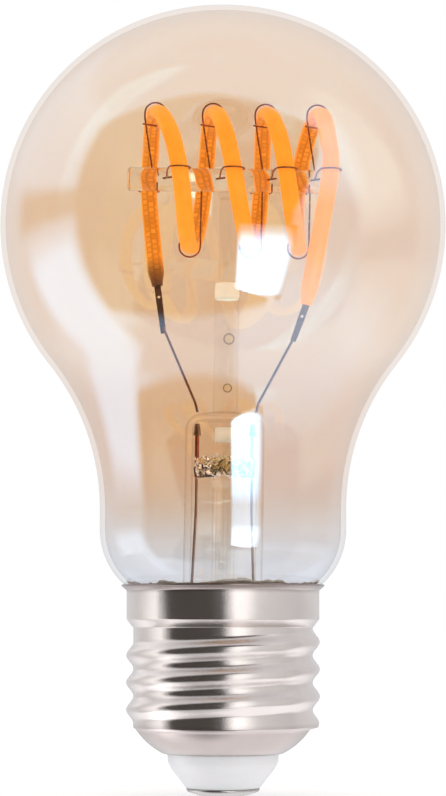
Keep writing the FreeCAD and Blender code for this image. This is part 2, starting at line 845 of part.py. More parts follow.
def make_hooks():
    radius = plain(dim["coil_radius"])
    foot_reach = plain(dim["rod_radius"]) - FOOT_SINK
    height = plain(dim["rod_height"])
    x_axis, y_axis, z_axis = Vector(1, 0, 0), Vector(0, 1, 0), Vector(0, 0, 1)
    groups = {"top_hooks": [], "front_hooks": [], "bottom_hooks": [], "back_hooks": []}
    for turn in range(4):
        strand = coil_point(1 + 4 * turn, radius)
        foot = Vector(strand.x + TOP_FOOT, 0, height + foot_reach)
        knee = Vector(strand.x + TOP_KNEE[0], 0, strand.z + TOP_KNEE[1])
        bar = (strand + TOP_BAR[0], strand + TOP_BAR[1])
        leg = [foot, (foot + knee) * 0.5, knee]
        groups["top_hooks"] += hook(strand, x_axis, z_axis, leg, TOP_ARC, bar)
        strand = coil_point(2 + 4 * turn, radius)
        foot = Vector(strand.x + FRONT_FOOT, -foot_reach, height)
        knee = Vector(strand.x + FRONT_KNEE[0], FRONT_KNEE[1] - radius, height)
        bar = (foot + FRONT_BAR[0], foot + FRONT_BAR[1])
        leg = [foot, (foot + knee) * 0.5, knee]
        groups["front_hooks"] += hook(strand, x_axis, y_axis, leg, FRONT_ARC, bar)
    for turn in range(3):
        strand = coil_point(3 + 4 * turn, radius)
        foot = Vector(strand.x + BOTTOM_FOOT, 0, height - foot_reach)
        knee = Vector(strand.x + BOTTOM_KNEE[0], 0, strand.z + BOTTOM_KNEE[1])
        leg = [foot, (foot + knee) * 0.5, knee]
        groups["bottom_hooks"] += hook(strand, x_axis, z_axis, leg, BOTTOM_ARC)
    for turn in (0, 2, 3):
        strand = coil_point(4 * turn, radius)
        foot = Vector(strand.x + BACK_FOOT, foot_reach, height)
        knee = Vector(strand.x + BACK_KNEE[0], radius + BACK_KNEE[1], height)
        leg = [foot, (foot + knee) * 0.5, knee]
        groups["back_hooks"] += hook(strand, x_axis, y_axis, leg, BACK_ARC)
    for label, wires in groups.items():
        feature_of(label, Part.makeCompound(wires), MOUNT_PLACEMENT)


# Driver and radio in the cap


def make_driver():
    gap = plain(dim["fit_gap"])
    board_bottom = plain(dim["board_height"])
    board_top = board_bottom + plain(dim["board_thickness"]) + gap
    under = board_bottom - gap
    rod("driver_board", dim["board_radius"], dim["board_thickness"], Vector(0, 0, board_bottom))
    block(
        "bridge_rectifier", dim["bridge_length"], dim["bridge_width"], dim["bridge_height"],
        BRIDGE_PLACE, board_top,
    )
    block(
        "driver_chip", dim["driver_chip_length"], dim["driver_chip_width"], dim["driver_chip_height"],
        DRIVER_CHIP_PLACE, board_top,
    )
    block(
        "radio_board", dim["radio_length"], dim["radio_width"], dim["radio_thickness"],
        RADIO_PLACE, board_top,
    )
    shield_bottom = board_top + plain(dim["radio_thickness"]) + gap
    block(
        "radio_shield", dim["shield_length"], dim["shield_width"], dim["shield_height"],
        SHIELD_PLACE, shield_bottom,
    )
    rod(
        "storage_capacitor", dim["capacitor_radius"], dim["capacitor_length"],
        Vector(-plain(dim["capacitor_length"]) / 2, CAPACITOR_PLACE, under - plain(dim["capacitor_radius"])),
        Vector(1, 0, 0),
    )
    rod(
        "choke", dim["choke_radius"], dim["choke_height"],
        Vector(*CHOKE_PLACE, under - plain(dim["choke_height"])),
    )
    rod(
        "fuse_resistor", dim["fuse_radius"], dim["fuse_length"],
        Vector(*FUSE_PLACE, under - plain(dim["fuse_length"]) - FUSE_STANDOFF),
    )
    for label, run in (
        ("antenna_wire", ANTENNA_ROUTE),
        ("contact_wire", CONTACT_ROUTE),
        ("shell_wire", SHELL_ROUTE),
    ):
        feature_of(label, round_wire(run, dim["hookup_radius"]))


def write_parts():
    doc.recompute()
    for item in doc.Objects:
        if "Invalid" in item.State or "Error" in item.State:
            raise RuntimeError(f"{item.Label} did not build: {item.State}")
    for part in sub_parts:
        shape = part.Shape
        if shape.isNull() or not shape.isValid() or shape.Volume <= 0:
            raise RuntimeError(f"{part.Label} has no valid solid")
    os.makedirs("parts", exist_ok=True)
    for part in sub_parts:
        part.Shape.exportStep(f"parts/{part.Label}.step")
        print(f"{part.Label}: {len(part.Shape.Solids)} solids, {part.Shape.Volume:.2f} mm3")


make_envelope()
make_screw_shell()
make_cap_end()
make_stem_tube()
make_press_seal()
make_exhaust_tube()
make_pillar()
make_filament()
make_lead("left", -1, LEFT_END, LEFT_TAB_FOOT, LEFT_LEAD)
make_lead("right", 1, RIGHT_END, RIGHT_TAB_FOOT, RIGHT_LEAD)
make_hooks()
make_driver()
write_parts()
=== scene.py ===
import math

import bpy
from mathutils import Matrix, Vector, noise


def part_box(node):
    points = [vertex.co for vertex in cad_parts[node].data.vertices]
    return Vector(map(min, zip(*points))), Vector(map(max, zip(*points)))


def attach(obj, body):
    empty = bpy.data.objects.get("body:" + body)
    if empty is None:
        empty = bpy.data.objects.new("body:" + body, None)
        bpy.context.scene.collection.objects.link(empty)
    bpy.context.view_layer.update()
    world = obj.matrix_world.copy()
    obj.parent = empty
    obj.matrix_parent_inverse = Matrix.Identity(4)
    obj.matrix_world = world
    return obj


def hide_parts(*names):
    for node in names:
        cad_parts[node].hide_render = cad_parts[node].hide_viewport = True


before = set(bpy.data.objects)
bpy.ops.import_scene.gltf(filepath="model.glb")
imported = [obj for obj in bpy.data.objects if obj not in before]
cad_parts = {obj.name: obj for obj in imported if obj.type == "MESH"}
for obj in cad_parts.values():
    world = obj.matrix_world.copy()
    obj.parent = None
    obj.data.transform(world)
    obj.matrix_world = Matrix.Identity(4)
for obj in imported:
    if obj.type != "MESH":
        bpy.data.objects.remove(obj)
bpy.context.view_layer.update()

MM = 0.001
BODY = "root"

# The design's own sizes in millimetres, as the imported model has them
GLASS_WALL = 0.7
CROWN_RADIUS, CROWN_REACH, SHOULDER_RADIUS = 34.0, 4.2, 29.72
EQUATOR_HEIGHT = 76.8
THROAT_START, THROAT_RADIUS = (23.58, 57.85), 31.7
WAIST_RADIUS, WAIST_HEIGHT, HEEL_HEIGHT, HEEL_RADIUS = 16.6, 38.0, 35.5, 10.05
NECK_RADIUS, NECK_TOP, NECK_END = 12.35, 27.26, 23.4
RIM_RADIUS, SKIRT_RADIUS, ROOT_RADIUS, SHEET = 13.65, 12.95, 12.05, 0.25
SKIRT_TOP, SKIRT_BOTTOM, ROOT_TOP, ROOT_BOTTOM = 27.3, 23.2, 22.3, 9.3
BOWL_EDGE, BOWL_CURVE = (8.0, 5.5), 9.5
THREAD_DEPTH, THREAD_PITCH, THREAD_START, THREAD_RISE = 0.95, 3.629, 9.5, 11.6
CAP_HEIGHT = 0.02805
STEM_TILT, TILT_HEIGHT = math.radians(0.9), 32.0
STEM_RADIUS, STEM_WALL, DOME_HEIGHT, DOME_CORNER = 5.35, 0.9, 51.2, 2.2
FLARE_HEIGHT = 28.6
SEAL_BOTTOM, SEAL_HEIGHT = 42.3, 3.3
ROD_HEIGHT, COIL_RADIUS = 83.1, 9.2
SILICONE_WIDTH, SILICONE_THICKNESS = 2.3, 1.9
QUARTER_TURNS = (-11.2, -10.2, -6.6, -5.2, -3.5, -2.3, 0.6, 3.1, 4.5, 4.9, 7.6, 9.6, 9.6, 12.0, 13.5)
LEFT_END, RIGHT_END = Vector((-9.7, 6.6, 69.4)), Vector((10.6, -6.4, 65.4))
TAIL_BOW = Vector((0.1, -0.7, 0))
LEFT_TAB_FOOT, RIGHT_TAB_FOOT = Vector((-8.7, 5.7, 62.6)), Vector((8.9, -5.6, 60.5))
TAB_HALF_WIDTH, TAB_HALF_THICKNESS, TAB_HOLE, TAB_HOLE_PLACE = 0.45, 0.11, 0.2, 1.7
PILLAR_WIDE, PILLAR_THIN = 1.68, 1.18
FROST_BOTTOM, PILLAR_STEP, BEAD_HEIGHT = 66.7, 68.9, 0.9
BUBBLES = {"bubble_high": ((0.35, -0.2, 61.3), 0.78), "bubble_low": ((0.25, -0.2, 54.6), 0.62)}
ROD_RADIUS, ROD_REACH, ROD_ROUNDING = 1.62, 13.8, 0.45
TIP_INNER, TIP_OUTER, TIP_LENGTH = 1.05, 1.35, 1.9
CEMENT_FOOT, CEMENT_LINE = 26.0, 28.1

# Heights in metres between which the amber coating fades in above the cap, and those where it is densest
UNCOATED_BELOW, COATED_ABOVE = 0.028, 0.046
DENSE_NECK = (0.037, 0.056)

# Camera and stage, in metres
EYE = Vector((0.0, -0.336, 0.0225))
EYE_PITCH = math.radians(5.23)
LENS, SENSOR = 112.6, 36.0
FLOOR_REACH, FLOOR_DROP, FLOOR_GLOW = 6.0, 0.0004, 0.2
BOX_LEFT, BOX_RIGHT = Vector((0.0175, -0.156)), Vector((0.092, -0.134))
BOX_TOP, BOX_BOTTOM, BOX_SLANT, BOX_LEVEL = 0.056, -0.056, 0.012, 7.0
CARD_RADIUS, CARD_BOTTOM, CARD_TOP, CARD_STEPS = 0.0225, 0.001, 0.0275, 10
CARD_LEVEL, CARD_GRAIN = 1.4, 0.09


# Mesh helpers


def new_piece(name, verts, faces, material, node=None, uvs=None):
    """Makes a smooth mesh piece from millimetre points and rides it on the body."""
    mesh = bpy.data.meshes.new(name)
    mesh.from_pydata([Vector(v) * MM for v in verts], [], faces)
    mesh.validate()
    mesh.shade_smooth()
    if uvs is not None:
        layer = mesh.uv_layers.new(name="UVMap")
        for loop in mesh.loops:
            layer.data[loop.index].uv = uvs[loop.vertex_index]
    mesh.materials.append(material)
    piece = bpy.data.objects.new(name, mesh)
    bpy.context.scene.collection.objects.link(piece)
    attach(piece, BODY)
    if node is not None:
        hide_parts(node)
    return piece


def lean(point):
    """The stem and what it carries lean by the stem's tilt about a point on the axis."""
    turn = Matrix.Rotation(STEM_TILT, 3, "Y")
    pivot = Vector((0, 0, TILT_HEIGHT))
    return pivot + turn @ (Vector(point) - pivot)


def outline_points(corners, step_degrees):
    """Follows corners (radius, height) or (radius, height, signed arc radius of the next edge)."""
    points = []
    for index, corner in enumerate(corners):
        start = Vector(corner[:2])
        points.append(start)
        if len(corner) < 3 or index + 1 == len(corners):
            continue
        end = Vector(corners[index + 1][:2])
        size = abs(corner[2])
        chord = end - start
        left = Vector((-chord.y, chord.x)).normalized()
        rise = math.sqrt(max(size**2 - (chord.length / 2) ** 2, 0))
        side = 1 if corner[2] > 0 else -1
        centre = (start + end) / 2 + left * rise * side
        first = math.atan2(start.y - centre.y, start.x - centre.x)
        sweep = 2 * math.asin(min(chord.length / 2 / size, 1)) * side
        steps = max(2, int(abs(math.degrees(sweep)) / step_degrees))
        for step in range(1, steps):
            angle = first + sweep * step / steps
            points.append(centre + Vector((math.cos(angle), math.sin(angle))) * size)
    return points


def lathe(points, sides, closed=True, place=None, shape=None):
    """Vertices and faces of an outline turned about Z. Points on the axis become single vertices.
    place moves each vertex, and shape gives the radius from (radius, height, angle)."""
    verts, rings = [], []
    for radius, height in points:
        if radius < 1e-6:
            rings.append([len(verts)])
            verts.append(Vector((0, 0, height)))
            continue
        ring = []
        for side in range(sides):
            angle = 2 * math.pi * side / sides
            reach = radius if shape is None else shape(radius, height, angle)
            ring.append(len(verts))
            verts.append(Vector((reach * math.cos(angle), reach * math.sin(angle), height)))
        rings.append(ring)
    faces = []
    pairs = list(zip(rings, rings[1:] + rings[:1] if closed else rings[1:]))
    for low, high in pairs:
        for side in range(sides):
            after = (side + 1) % sides
            if len(low) == 1 and len(high) == 1:
                break
            if len(low) == 1:
                faces.append((low[0], high[after], high[side]))
            elif len(high) == 1:
                faces.append((low[side], low[after], high[0]))
            else:
                faces.append((low[side], low[after], high[after], high[side]))
    if place is not None:
        verts = [place(v) for v in verts]
    return verts, [tuple(reversed(face)) for face in faces]


def end_taper(path, least, reach):
    """Widths along a path that narrow to least over reach at both ends."""
    lengths = [0.0]
    for start, end in zip(path, path[1:]):
        lengths.append(lengths[-1] + (end - start).length)
    return [
        least + (1 - least) * smoothstep(0, reach, min(length, lengths[-1] - length) + 0.01)
        for length in lengths
    ]


def sweep(points, section, across_hint, widths):
    """Sweeps a closed section of (across, outward) points along a path, with UVs in millimetres."""
    count, ring_size = len(points), len(section)
    verts, uvs, length = [], [], 0.0
    for index, point in enumerate(points):
        before, after = points[max(index - 1, 0)], points[min(index + 1, count - 1)]
        along = (after - before).normalized()
        if index:
            length += (point - points[index - 1]).length
        across = (across_hint - along * across_hint.dot(along)).normalized()
        outward = along.cross(across)
        for number, (wide, deep) in enumerate(section):
            verts.append(point + (across * wide + outward * deep) * widths[index])
            uvs.append((length, number / ring_size))
    faces = [tuple(reversed(range(ring_size))), tuple(range((count - 1) * ring_size, count * ring_size))]
    for index in range(count - 1):
        low, high = index * ring_size, (index + 1) * ring_size
        for side in range(ring_size):
            after = (side + 1) % ring_size
            faces.append((low + side, low + after, high + after, high + side))
    return verts, faces, uvs


def smooth_path(knots, steps):
    """A Catmull-Rom curve through the knots."""
    knots = [Vector(knot) for knot in knots]
    padded = [knots[0] * 2 - knots[1], *knots, knots[-1] * 2 - knots[-2]]
    path = []
    for index in range(1, len(padded) - 2):
        p0, p1, p2, p3 = padded[index - 1:index + 3]
        for step in range(steps):
            part = step / steps
            path.append(
                0.5 * (
                    2 * p1
                    + (p2 - p0) * part
                    + (2 * p0 - 5 * p1 + 4 * p2 - p3) * part**2
                    + (3 * p1 - p0 - 3 * p2 + p3) * part**3
                )
            )
    path.append(knots[-1])
    return path


def smoothstep(low, high, value):
    """0 at low, 1 at high, smooth between, and the other way round where low is above high."""
    part = min(max((value - low) / (high - low), 0.0), 1.0)
    return part * part * (3 - 2 * part)


# Materials


class Nodes:
    """Short forms for building a node tree."""

    def __init__(self, tree):
        self.tree = tree
        tree.nodes.clear()

    def add(self, kind, **settings):
        node = self.tree.nodes.new(kind)
        for key, value in settings.items():
            setattr(node, key, value)
        return node

    def link(self, source, target):
        self.tree.links.new(source, target)

    def maths(self, operation, first, second=None):
        node = self.add("ShaderNodeMath", operation=operation)
        for index, value in enumerate((first, second)):
            if value is None:
                continue
            if isinstance(value, (int, float)):
                node.inputs[index].default_value = value
            else:
                self.link(value, node.inputs[index])
        return node.outputs[0]

    def times(self, first, second):
        return self.maths("MULTIPLY", first, second)

    def ramp(self, factor, stops):
        node = self.add("ShaderNodeValToRGB")
        elements = node.color_ramp.elements
        while len(elements) < len(stops):
            elements.new(0.5)
        for element, (place, colour) in zip(elements, stops):
            element.position = place
            element.color = (*colour, 1)
        self.link(factor, node.inputs[0])
        return node.outputs[0]

    def mix(self, factor, first, second, blend="MIX"):
        node = self.add("ShaderNodeMix", data_type="RGBA", blend_type=blend)
        for value, socket in ((factor, node.inputs[0]), (first, node.inputs[6]), (second, node.inputs[7])):
            if isinstance(value, (int, float)):
                socket.default_value = value
            elif isinstance(value, tuple):
                socket.default_value = (*value, 1)
            else:
                self.link(value, socket)
        return node.outputs[2]

    def noise(self, vector, scale, detail=2.0, roughness=0.5):
        node = self.add("ShaderNodeTexNoise")
        node.inputs["Scale"].default_value = scale
        node.inputs["Detail"].default_value = detail
        node.inputs["Roughness"].default_value = roughness
        self.link(vector, node.inputs["Vector"])
        return node.outputs["Fac"]

    def bump(self, height, strength, distance):
        node = self.add("ShaderNodeBump")
        node.inputs["Strength"].default_value = strength
        node.inputs["Distance"].default_value = distance
        self.link(height, node.inputs["Height"])
        return node.outputs[0]

    def output(self, shader):
        out = self.add("ShaderNodeOutputMaterial")
        self.link(shader, out.inputs["Surface"])


def new_material(name):
    material = bpy.data.materials.new(name)
    material.use_nodes = True
    return material, Nodes(material.node_tree)


def object_place(nodes, scale=(1, 1, 1)):
    """A place in the object's own frame, scaled along each axis."""
    coordinates = nodes.add("ShaderNodeTexCoord")
    mapping = nodes.add("ShaderNodeMapping")
    mapping.inputs["Scale"].default_value = scale
    nodes.link(coordinates.outputs["Object"], mapping.inputs["Vector"])
    return mapping.outputs[0]


def object_axes(nodes):
    """X, Y and Z of a place in the object's own frame."""
    split = nodes.add("ShaderNodeSeparateXYZ")
    nodes.link(object_place(nodes), split.inputs[0])
    return split.outputs


def facing_share(nodes):
    """0 where a surface is seen face on, 1 at its edge."""
    weight = nodes.add("ShaderNodeLayerWeight")
    weight.inputs["Blend"].default_value = 0.5
    return weight.outputs["Facing"]


def round_place(nodes, around, up):
    """A place on a cylinder round Z of radius around, with its height scaled by up."""
    coordinates = nodes.add("ShaderNodeTexCoord")
    split = nodes.add("ShaderNodeSeparateXYZ")
    nodes.link(coordinates.outputs["Object"], split.inputs[0])
    angle = nodes.maths("ARCTAN2", split.outputs[1], split.outputs[0])
    join = nodes.add("ShaderNodeCombineXYZ")
    nodes.link(nodes.times(nodes.maths("COSINE", angle), around), join.inputs[0])
    nodes.link(nodes.times(nodes.maths("SINE", angle), around), join.inputs[1])
    nodes.link(nodes.times(split.outputs[2], up), join.inputs[2])
    return join.outputs[0]


def see_through(nodes, passed, mirrored, roughness, normal):
    """Glass as a thin sheet: what passes is tinted, what is mirrored is added on top."""
    clear = nodes.add("ShaderNodeBsdfTransparent")
    mirror = nodes.add("ShaderNodeBsdfAnisotropic")
    mirror.inputs["Roughness"].default_value = roughness
    nodes.link(passed, clear.inputs["Color"])
    nodes.link(mirrored, mirror.inputs["Color"])
    nodes.link(normal, mirror.inputs["Normal"])
    both = nodes.add("ShaderNodeAddShader")
    nodes.link(clear.outputs[0], both.inputs[0])
    nodes.link(mirror.outputs[0], both.inputs[1])
    return both.outputs[0]


def amber_glass():
    """The bulb's coating: it passes amber light and mirrors the bluish rest, and thins out near the cap."""
    material, nodes = new_material("amber_coating")
    facing = facing_share(nodes)
    cloud = nodes.noise(object_place(nodes), 45.0, 3.0)
    height = object_axes(nodes)[2]
    coated = nodes.add("ShaderNodeMapRange", interpolation_type="SMOOTHSTEP")
    coated.inputs["From Min"].default_value = UNCOATED_BELOW
    coated.inputs["From Max"].default_value = COATED_ABOVE
    nodes.link(height, coated.inputs["Value"])
    passed = nodes.ramp(
        facing,
        [
            (0.0, (0.915, 0.805, 0.693)),
            (0.5, (0.91, 0.80, 0.69)),
            (0.8, (0.86, 0.76, 0.67)),
            (1.0, (0.55, 0.50, 0.46)),
        ],
    )
    passed = nodes.mix(nodes.times(cloud, 0.05), passed, (0.97, 0.92, 0.86))
    bare = nodes.ramp(
        facing, [(0.0, (0.864, 0.867, 0.886)), (0.7, (0.845, 0.85, 0.866)), (1.0, (0.5, 0.5, 0.5))]
    )
    passed = nodes.mix(coated.outputs[0], bare, passed)
    neck = direction_band(nodes, height, DENSE_NECK[0], DENSE_NECK[1], 0.005)
    passed = nodes.mix(neck, passed, (0.972, 0.955, 0.945), "MULTIPLY")
    mirrored = nodes.ramp(
        facing,
        [
            (0.0, (0.042, 0.107, 0.17)),
            (0.5, (0.046, 0.11, 0.175)),
            (0.8, (0.09, 0.16, 0.22)),
            (1.0, (0.42, 0.44, 0.46)),
        ],
    )
    bare_mirror = nodes.ramp(
        facing, [(0.0, (0.05, 0.055, 0.06)), (0.7, (0.07, 0.075, 0.08)), (1.0, (0.4, 0.4, 0.4))]
    )
    mirrored = nodes.mix(coated.outputs[0], bare_mirror, mirrored)
    ripple = nodes.bump(nodes.noise(object_place(nodes, (1, 1, 0.6)), 55.0, 1.0), 0.05, 0.0006)
    nodes.output(see_through(nodes, passed, mirrored, 0.03, ripple))
    return material


def bubble_skin():
    """The wall of a bubble in the glass: clear in the middle, dim towards its rim."""
    material, nodes = new_material("bubble_skin")
    facing = facing_share(nodes)
    swirl = nodes.noise(object_place(nodes), 1500.0, 2.0)
    passed = nodes.ramp(
        facing,
        [
            (0.0, (0.99, 0.98, 0.90)),
            (0.24, (0.99, 0.97, 0.86)),
            (0.42, (0.72, 0.64, 0.48)),
            (1.0, (0.55, 0.47, 0.33)),
        ],
    )
    passed = nodes.mix(nodes.times(swirl, 0.2), passed, (1.0, 1.0, 0.95))
    clear = nodes.add("ShaderNodeBsdfTransparent")
    nodes.link(passed, clear.inputs["Color"])
    nodes.output(clear.outputs[0])
    return material


def clear_sheet(name, middle, edge, streaks=0.03):
    """Thin clear glass: barely tinted face on, greyer towards its edges, with drawn streaks."""
    material, nodes = new_material(name)
    facing = facing_share(nodes)
    streak = nodes.noise(object_place(nodes, (1, 1, 0.08)), 900.0, 2.0)
    passed = nodes.ramp(facing, [(0.0, middle), (0.6, middle), (0.88, edge), (1.0, edge)])
    passed = nodes.mix(nodes.times(streak, streaks * 2), passed, tuple(c * 0.6 for c in middle))
    mirrored = nodes.ramp(
        facing,
        [(0.0, (0.02, 0.02, 0.02)), (0.6, (0.03, 0.03, 0.03)), (1.0, (0.16, 0.16, 0.16))],
    )
    waves = nodes.bump(streak, 0.08, 0.0003)
    nodes.output(see_through(nodes, passed, mirrored, 0.05, waves))
    return material


def solid_glass(name, tint, ripple=0.1, ripple_scale=350.0):
    """Clear soda glass that bends what is seen through it, with drawn streaks in its surface."""
    material, nodes = new_material(name)
    streak = nodes.noise(object_place(nodes, (1, 1, 0.2)), ripple_scale, 2.0)
    colour = nodes.ramp(streak, [(0.3, tint), (0.7, tuple(min(1.0, c * 1.01) for c in tint))])
    waves = nodes.bump(streak, ripple, 0.0003)
    nodes.output(
        principled(nodes, Base_Color=colour, Roughness=0.0, Transmission_Weight=1.0, IOR=1.5, Normal=waves)
    )
    return material


def frosted_glass_painted_glow():
    """Cut glass given a painted glow: its emission stands in for studio light scattered in the frost, so it
    shows pale.
    """
    material, nodes = new_material("frosted_glass_painted_glow")
    grain = nodes.noise(object_place(nodes), 900.0, 3.0)
    colour = nodes.ramp(grain, [(0.3, (0.72, 0.83, 0.88)), (0.7, (0.80, 0.90, 0.95))])
    bump = nodes.bump(grain, 0.3, 0.0002)
    # The emission is painted light, not light that the frost scatters from the studio lamps.
    nodes.output(
        principled(
            nodes, Base_Color=colour, Roughness=0.5, Normal=bump, Emission_Color=colour,
            Emission_Strength=0.55,
        )
    )
    return material


def principled(nodes, **values):
    """A Principled shader; each value is a number, a colour or a socket, under its input's name."""
    shader = nodes.add("ShaderNodeBsdfPrincipled")
    for name, value in values.items():
        socket = shader.inputs[name.replace("_", " ")]
        if isinstance(value, (int, float)):
            socket.default_value = value
        elif isinstance(value, tuple):
            socket.default_value = (*value, 1)
        else:
            nodes.link(value, socket)
    return shader.outputs[0]


def nickel(name, base, rough):
    """Plated nickel with fine drawn marks and small pits, painted shade on its rim, and darker towards the
    bowl.
    """
    material, nodes = new_material(name)
    brushed = nodes.noise(round_place(nodes, 0.55, 9.0), 420.0, 3.0, 0.6)
    stain = nodes.noise(object_place(nodes), 160.0, 4.0, 0.6)
    pits = nodes.noise(object_place(nodes), 2600.0, 2.0, 0.7)
    height = object_axes(nodes)[2]
    # Painted shade darkens the rim, where its reflection meets the dark band of the studio; below a third
    # of the cap's height, round the bowl, the colour is darker.
    rim_shade_and_bowl_dimming = nodes.ramp(
        nodes.times(height, 1 / CAP_HEIGHT),
        [
            (0.0, (0.62, 0.60, 0.60)),
            (0.30, (0.66, 0.63, 0.62)),
            (0.345, (1, 1, 1)),
            (0.955, (1, 1, 1)),
            (0.985, (0.42, 0.38, 0.37)),
        ],
    )
    colour = nodes.ramp(stain, [(0.35, tuple(0.93 * c for c in base)), (0.65, base)])
    colour = nodes.mix(1.0, colour, rim_shade_and_bowl_dimming, "MULTIPLY")
    roughness = nodes.maths("ADD", nodes.times(brushed, 0.12), rough - 0.05)
    both = nodes.maths("ADD", brushed, nodes.times(pits, 0.6))
    bump = nodes.bump(both, 0.09, 0.0002)
    nodes.output(principled(nodes, Base_Color=colour, Metallic=0.94, Roughness=roughness, Normal=bump))
    return material


def worn_metal(name, base, rough, spread=0.25):
    """Dull metal with a fine mottled grain."""
    material, nodes = new_material(name)
    grain = nodes.noise(object_place(nodes), 1800.0, 4.0, 0.65)
    dark = tuple(c * (1 - spread) for c in base)
    light = tuple(min(c * (1 + spread), 1) for c in base)
    colour = nodes.ramp(grain, [(0.3, dark), (0.7, light)])
    roughness = nodes.maths("ADD", nodes.times(grain, 0.2), rough - 0.1)
    bump = nodes.bump(grain, 0.15, 0.0001)
    nodes.output(principled(nodes, Base_Color=colour, Metallic=1.0, Roughness=roughness, Normal=bump))
    return material


def plastic(name, base, rough, grain_scale=1200.0, spread=0.08, coat=0.0, subsurface=0.0):
    """A non-metal with a grained surface: plastic, ceramic, cement or laminate."""
    material, nodes = new_material(name)
    grain = nodes.noise(object_place(nodes), grain_scale, 4.0, 0.6)
    colour = nodes.ramp(grain, [(0.3, tuple(c * (1 - spread) for c in base)), (0.7, base)])
    roughness = nodes.maths("ADD", nodes.times(grain, 0.12), rough - 0.06)
    bump = nodes.bump(grain, 0.08, 0.0002)
    nodes.output(
        principled(
            nodes, Base_Color=colour, Roughness=roughness, Normal=bump, Coat_Weight=coat,
            Subsurface_Weight=subsurface, Subsurface_Scale=0.002,
        )
    )
    return material


def silicone():
    """Orange phosphor silicone, brightened by a painted glow from its emission. The circuit shows dimly
    through the side that faces the rod, and the tab buried in the left end shows dark."""
    material, nodes = new_material("phosphor_silicone")
    uv = nodes.add("ShaderNodeUVMap")
    split = nodes.add("ShaderNodeSeparateXYZ")
    nodes.link(uv.outputs[0], split.inputs[0])
    along, around = split.outputs[0], split.outputs[1]
    inner = nodes.maths("ABSOLUTE", nodes.maths("SUBTRACT", around, 0.75))
    inner = nodes.ramp(inner, [(0.0, (1, 1, 1)), (0.13, (1, 1, 1)), (0.2, (0, 0, 0))])
    join = nodes.add("ShaderNodeCombineXYZ")
    nodes.link(along, join.inputs[0])
    nodes.link(nodes.times(around, 5.0), join.inputs[1])
    brick = nodes.add("ShaderNodeTexBrick")
    sizes = {"Scale": 1.0, "Brick Width": 0.8, "Row Height": 0.6, "Mortar Size": 0.1, "Mortar Smooth": 0.2}
    for name, size in sizes.items():
        brick.inputs[name].default_value = size
    for name, grey in (("Color1", 1.0), ("Color2", 0.25), ("Mortar", 0.1)):
        brick.inputs[name].default_value = (grey, grey, grey, 1)
    nodes.link(join.outputs[0], brick.inputs["Vector"])
    cloud = nodes.noise(object_place(nodes), 500.0, 2.0)
    plain = nodes.ramp(cloud, [(0.3, (1.0, 0.42, 0.03)), (0.7, (1.0, 0.48, 0.045))])
    circuit = nodes.mix(brick.outputs["Color"], (0.60, 0.23, 0.016), (0.95, 0.42, 0.04))
    colour = nodes.mix(inner, plain, circuit)
    buried_tab = nodes.ramp(
        nodes.times(along, 0.1), [(0.0, (1, 1, 1)), (0.2, (0.7, 0.7, 0.7)), (0.4, (0, 0, 0))]
    )
    colour = nodes.mix(nodes.times(buried_tab, 0.93), colour, (0.06, 0.03, 0.02))
    bump = nodes.bump(cloud, 0.1, 0.0002)
    # The emission is painted light: it makes the silicone brighter than the studio lamps light it.
    silicone_painted_glow = principled(
        nodes, Base_Color=colour, Roughness=0.32, Normal=bump, Subsurface_Weight=0.25,
        Subsurface_Scale=0.0012, Emission_Color=colour, Emission_Strength=0.5,
    )
    nodes.output(silicone_painted_glow)
    return material


# Pieces


def make_bulb(material):
    """The blown envelope, as one closed skin of outer and inner wall."""
    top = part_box("glass_envelope")[1][2] / MM
    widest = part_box("glass_envelope")[1][0] / MM
    slope = math.atan2(EQUATOR_HEIGHT - THROAT_START[1], THROAT_START[0])
    drop = CROWN_RADIUS - math.sqrt(CROWN_RADIUS**2 - CROWN_REACH**2)
    inner_crown = CROWN_RADIUS - GLASS_WALL
    inner_drop = inner_crown - math.sqrt(inner_crown**2 - CROWN_REACH**2)
    inner_throat = (
        THROAT_START[0] - GLASS_WALL * math.cos(slope),
        THROAT_START[1] + GLASS_WALL * math.sin(slope),
    )
    outside = [
        (0, top, -CROWN_RADIUS),
        (CROWN_REACH, top - drop, -SHOULDER_RADIUS),
        (widest, EQUATOR_HEIGHT, -widest),
        (*THROAT_START, THROAT_RADIUS),
        (WAIST_RADIUS, WAIST_HEIGHT),
        (WAIST_RADIUS, HEEL_HEIGHT, -HEEL_RADIUS),
        (NECK_RADIUS, NECK_TOP),
        (NECK_RADIUS, NECK_END),
    ]
    inside = [
        (NECK_RADIUS - GLASS_WALL, NECK_END),
        (NECK_RADIUS - GLASS_WALL, NECK_TOP + 0.3, HEEL_RADIUS - GLASS_WALL),
        (WAIST_RADIUS - GLASS_WALL, HEEL_HEIGHT),
        (WAIST_RADIUS - GLASS_WALL, WAIST_HEIGHT, -(THROAT_RADIUS + GLASS_WALL)),
        (*inner_throat, widest - GLASS_WALL),
        (widest - GLASS_WALL, EQUATOR_HEIGHT, SHOULDER_RADIUS - GLASS_WALL),
        (CROWN_REACH, top - GLASS_WALL - inner_drop, inner_crown),
        (0, top - GLASS_WALL),
    ]
    outer_points = outline_points(outside, 2.0)
    inner_points = outline_points(inside, 2.0)
    verts, faces = lathe(outer_points + inner_points, 160, closed=False)
    new_piece("bulb_glass", verts, faces, material, "glass_envelope")


def thread_height(angle, height):
    """How far the knuckle stands out at a place on the barrel, from 0 to 1, fading at both ends."""
    turns = (height - THREAD_START) / THREAD_PITCH
    nearest = round(turns - angle / (2 * math.pi))
    helix = angle / (2 * math.pi) + nearest
    apart = abs(turns - helix)
    ridge = 0.5 + 0.5 * math.cos(2 * math.pi * apart)
    last = THREAD_RISE / THREAD_PITCH
    return ridge * smoothstep(-0.22, 0.05, helix) * smoothstep(last + 0.25, last - 0.05, helix)


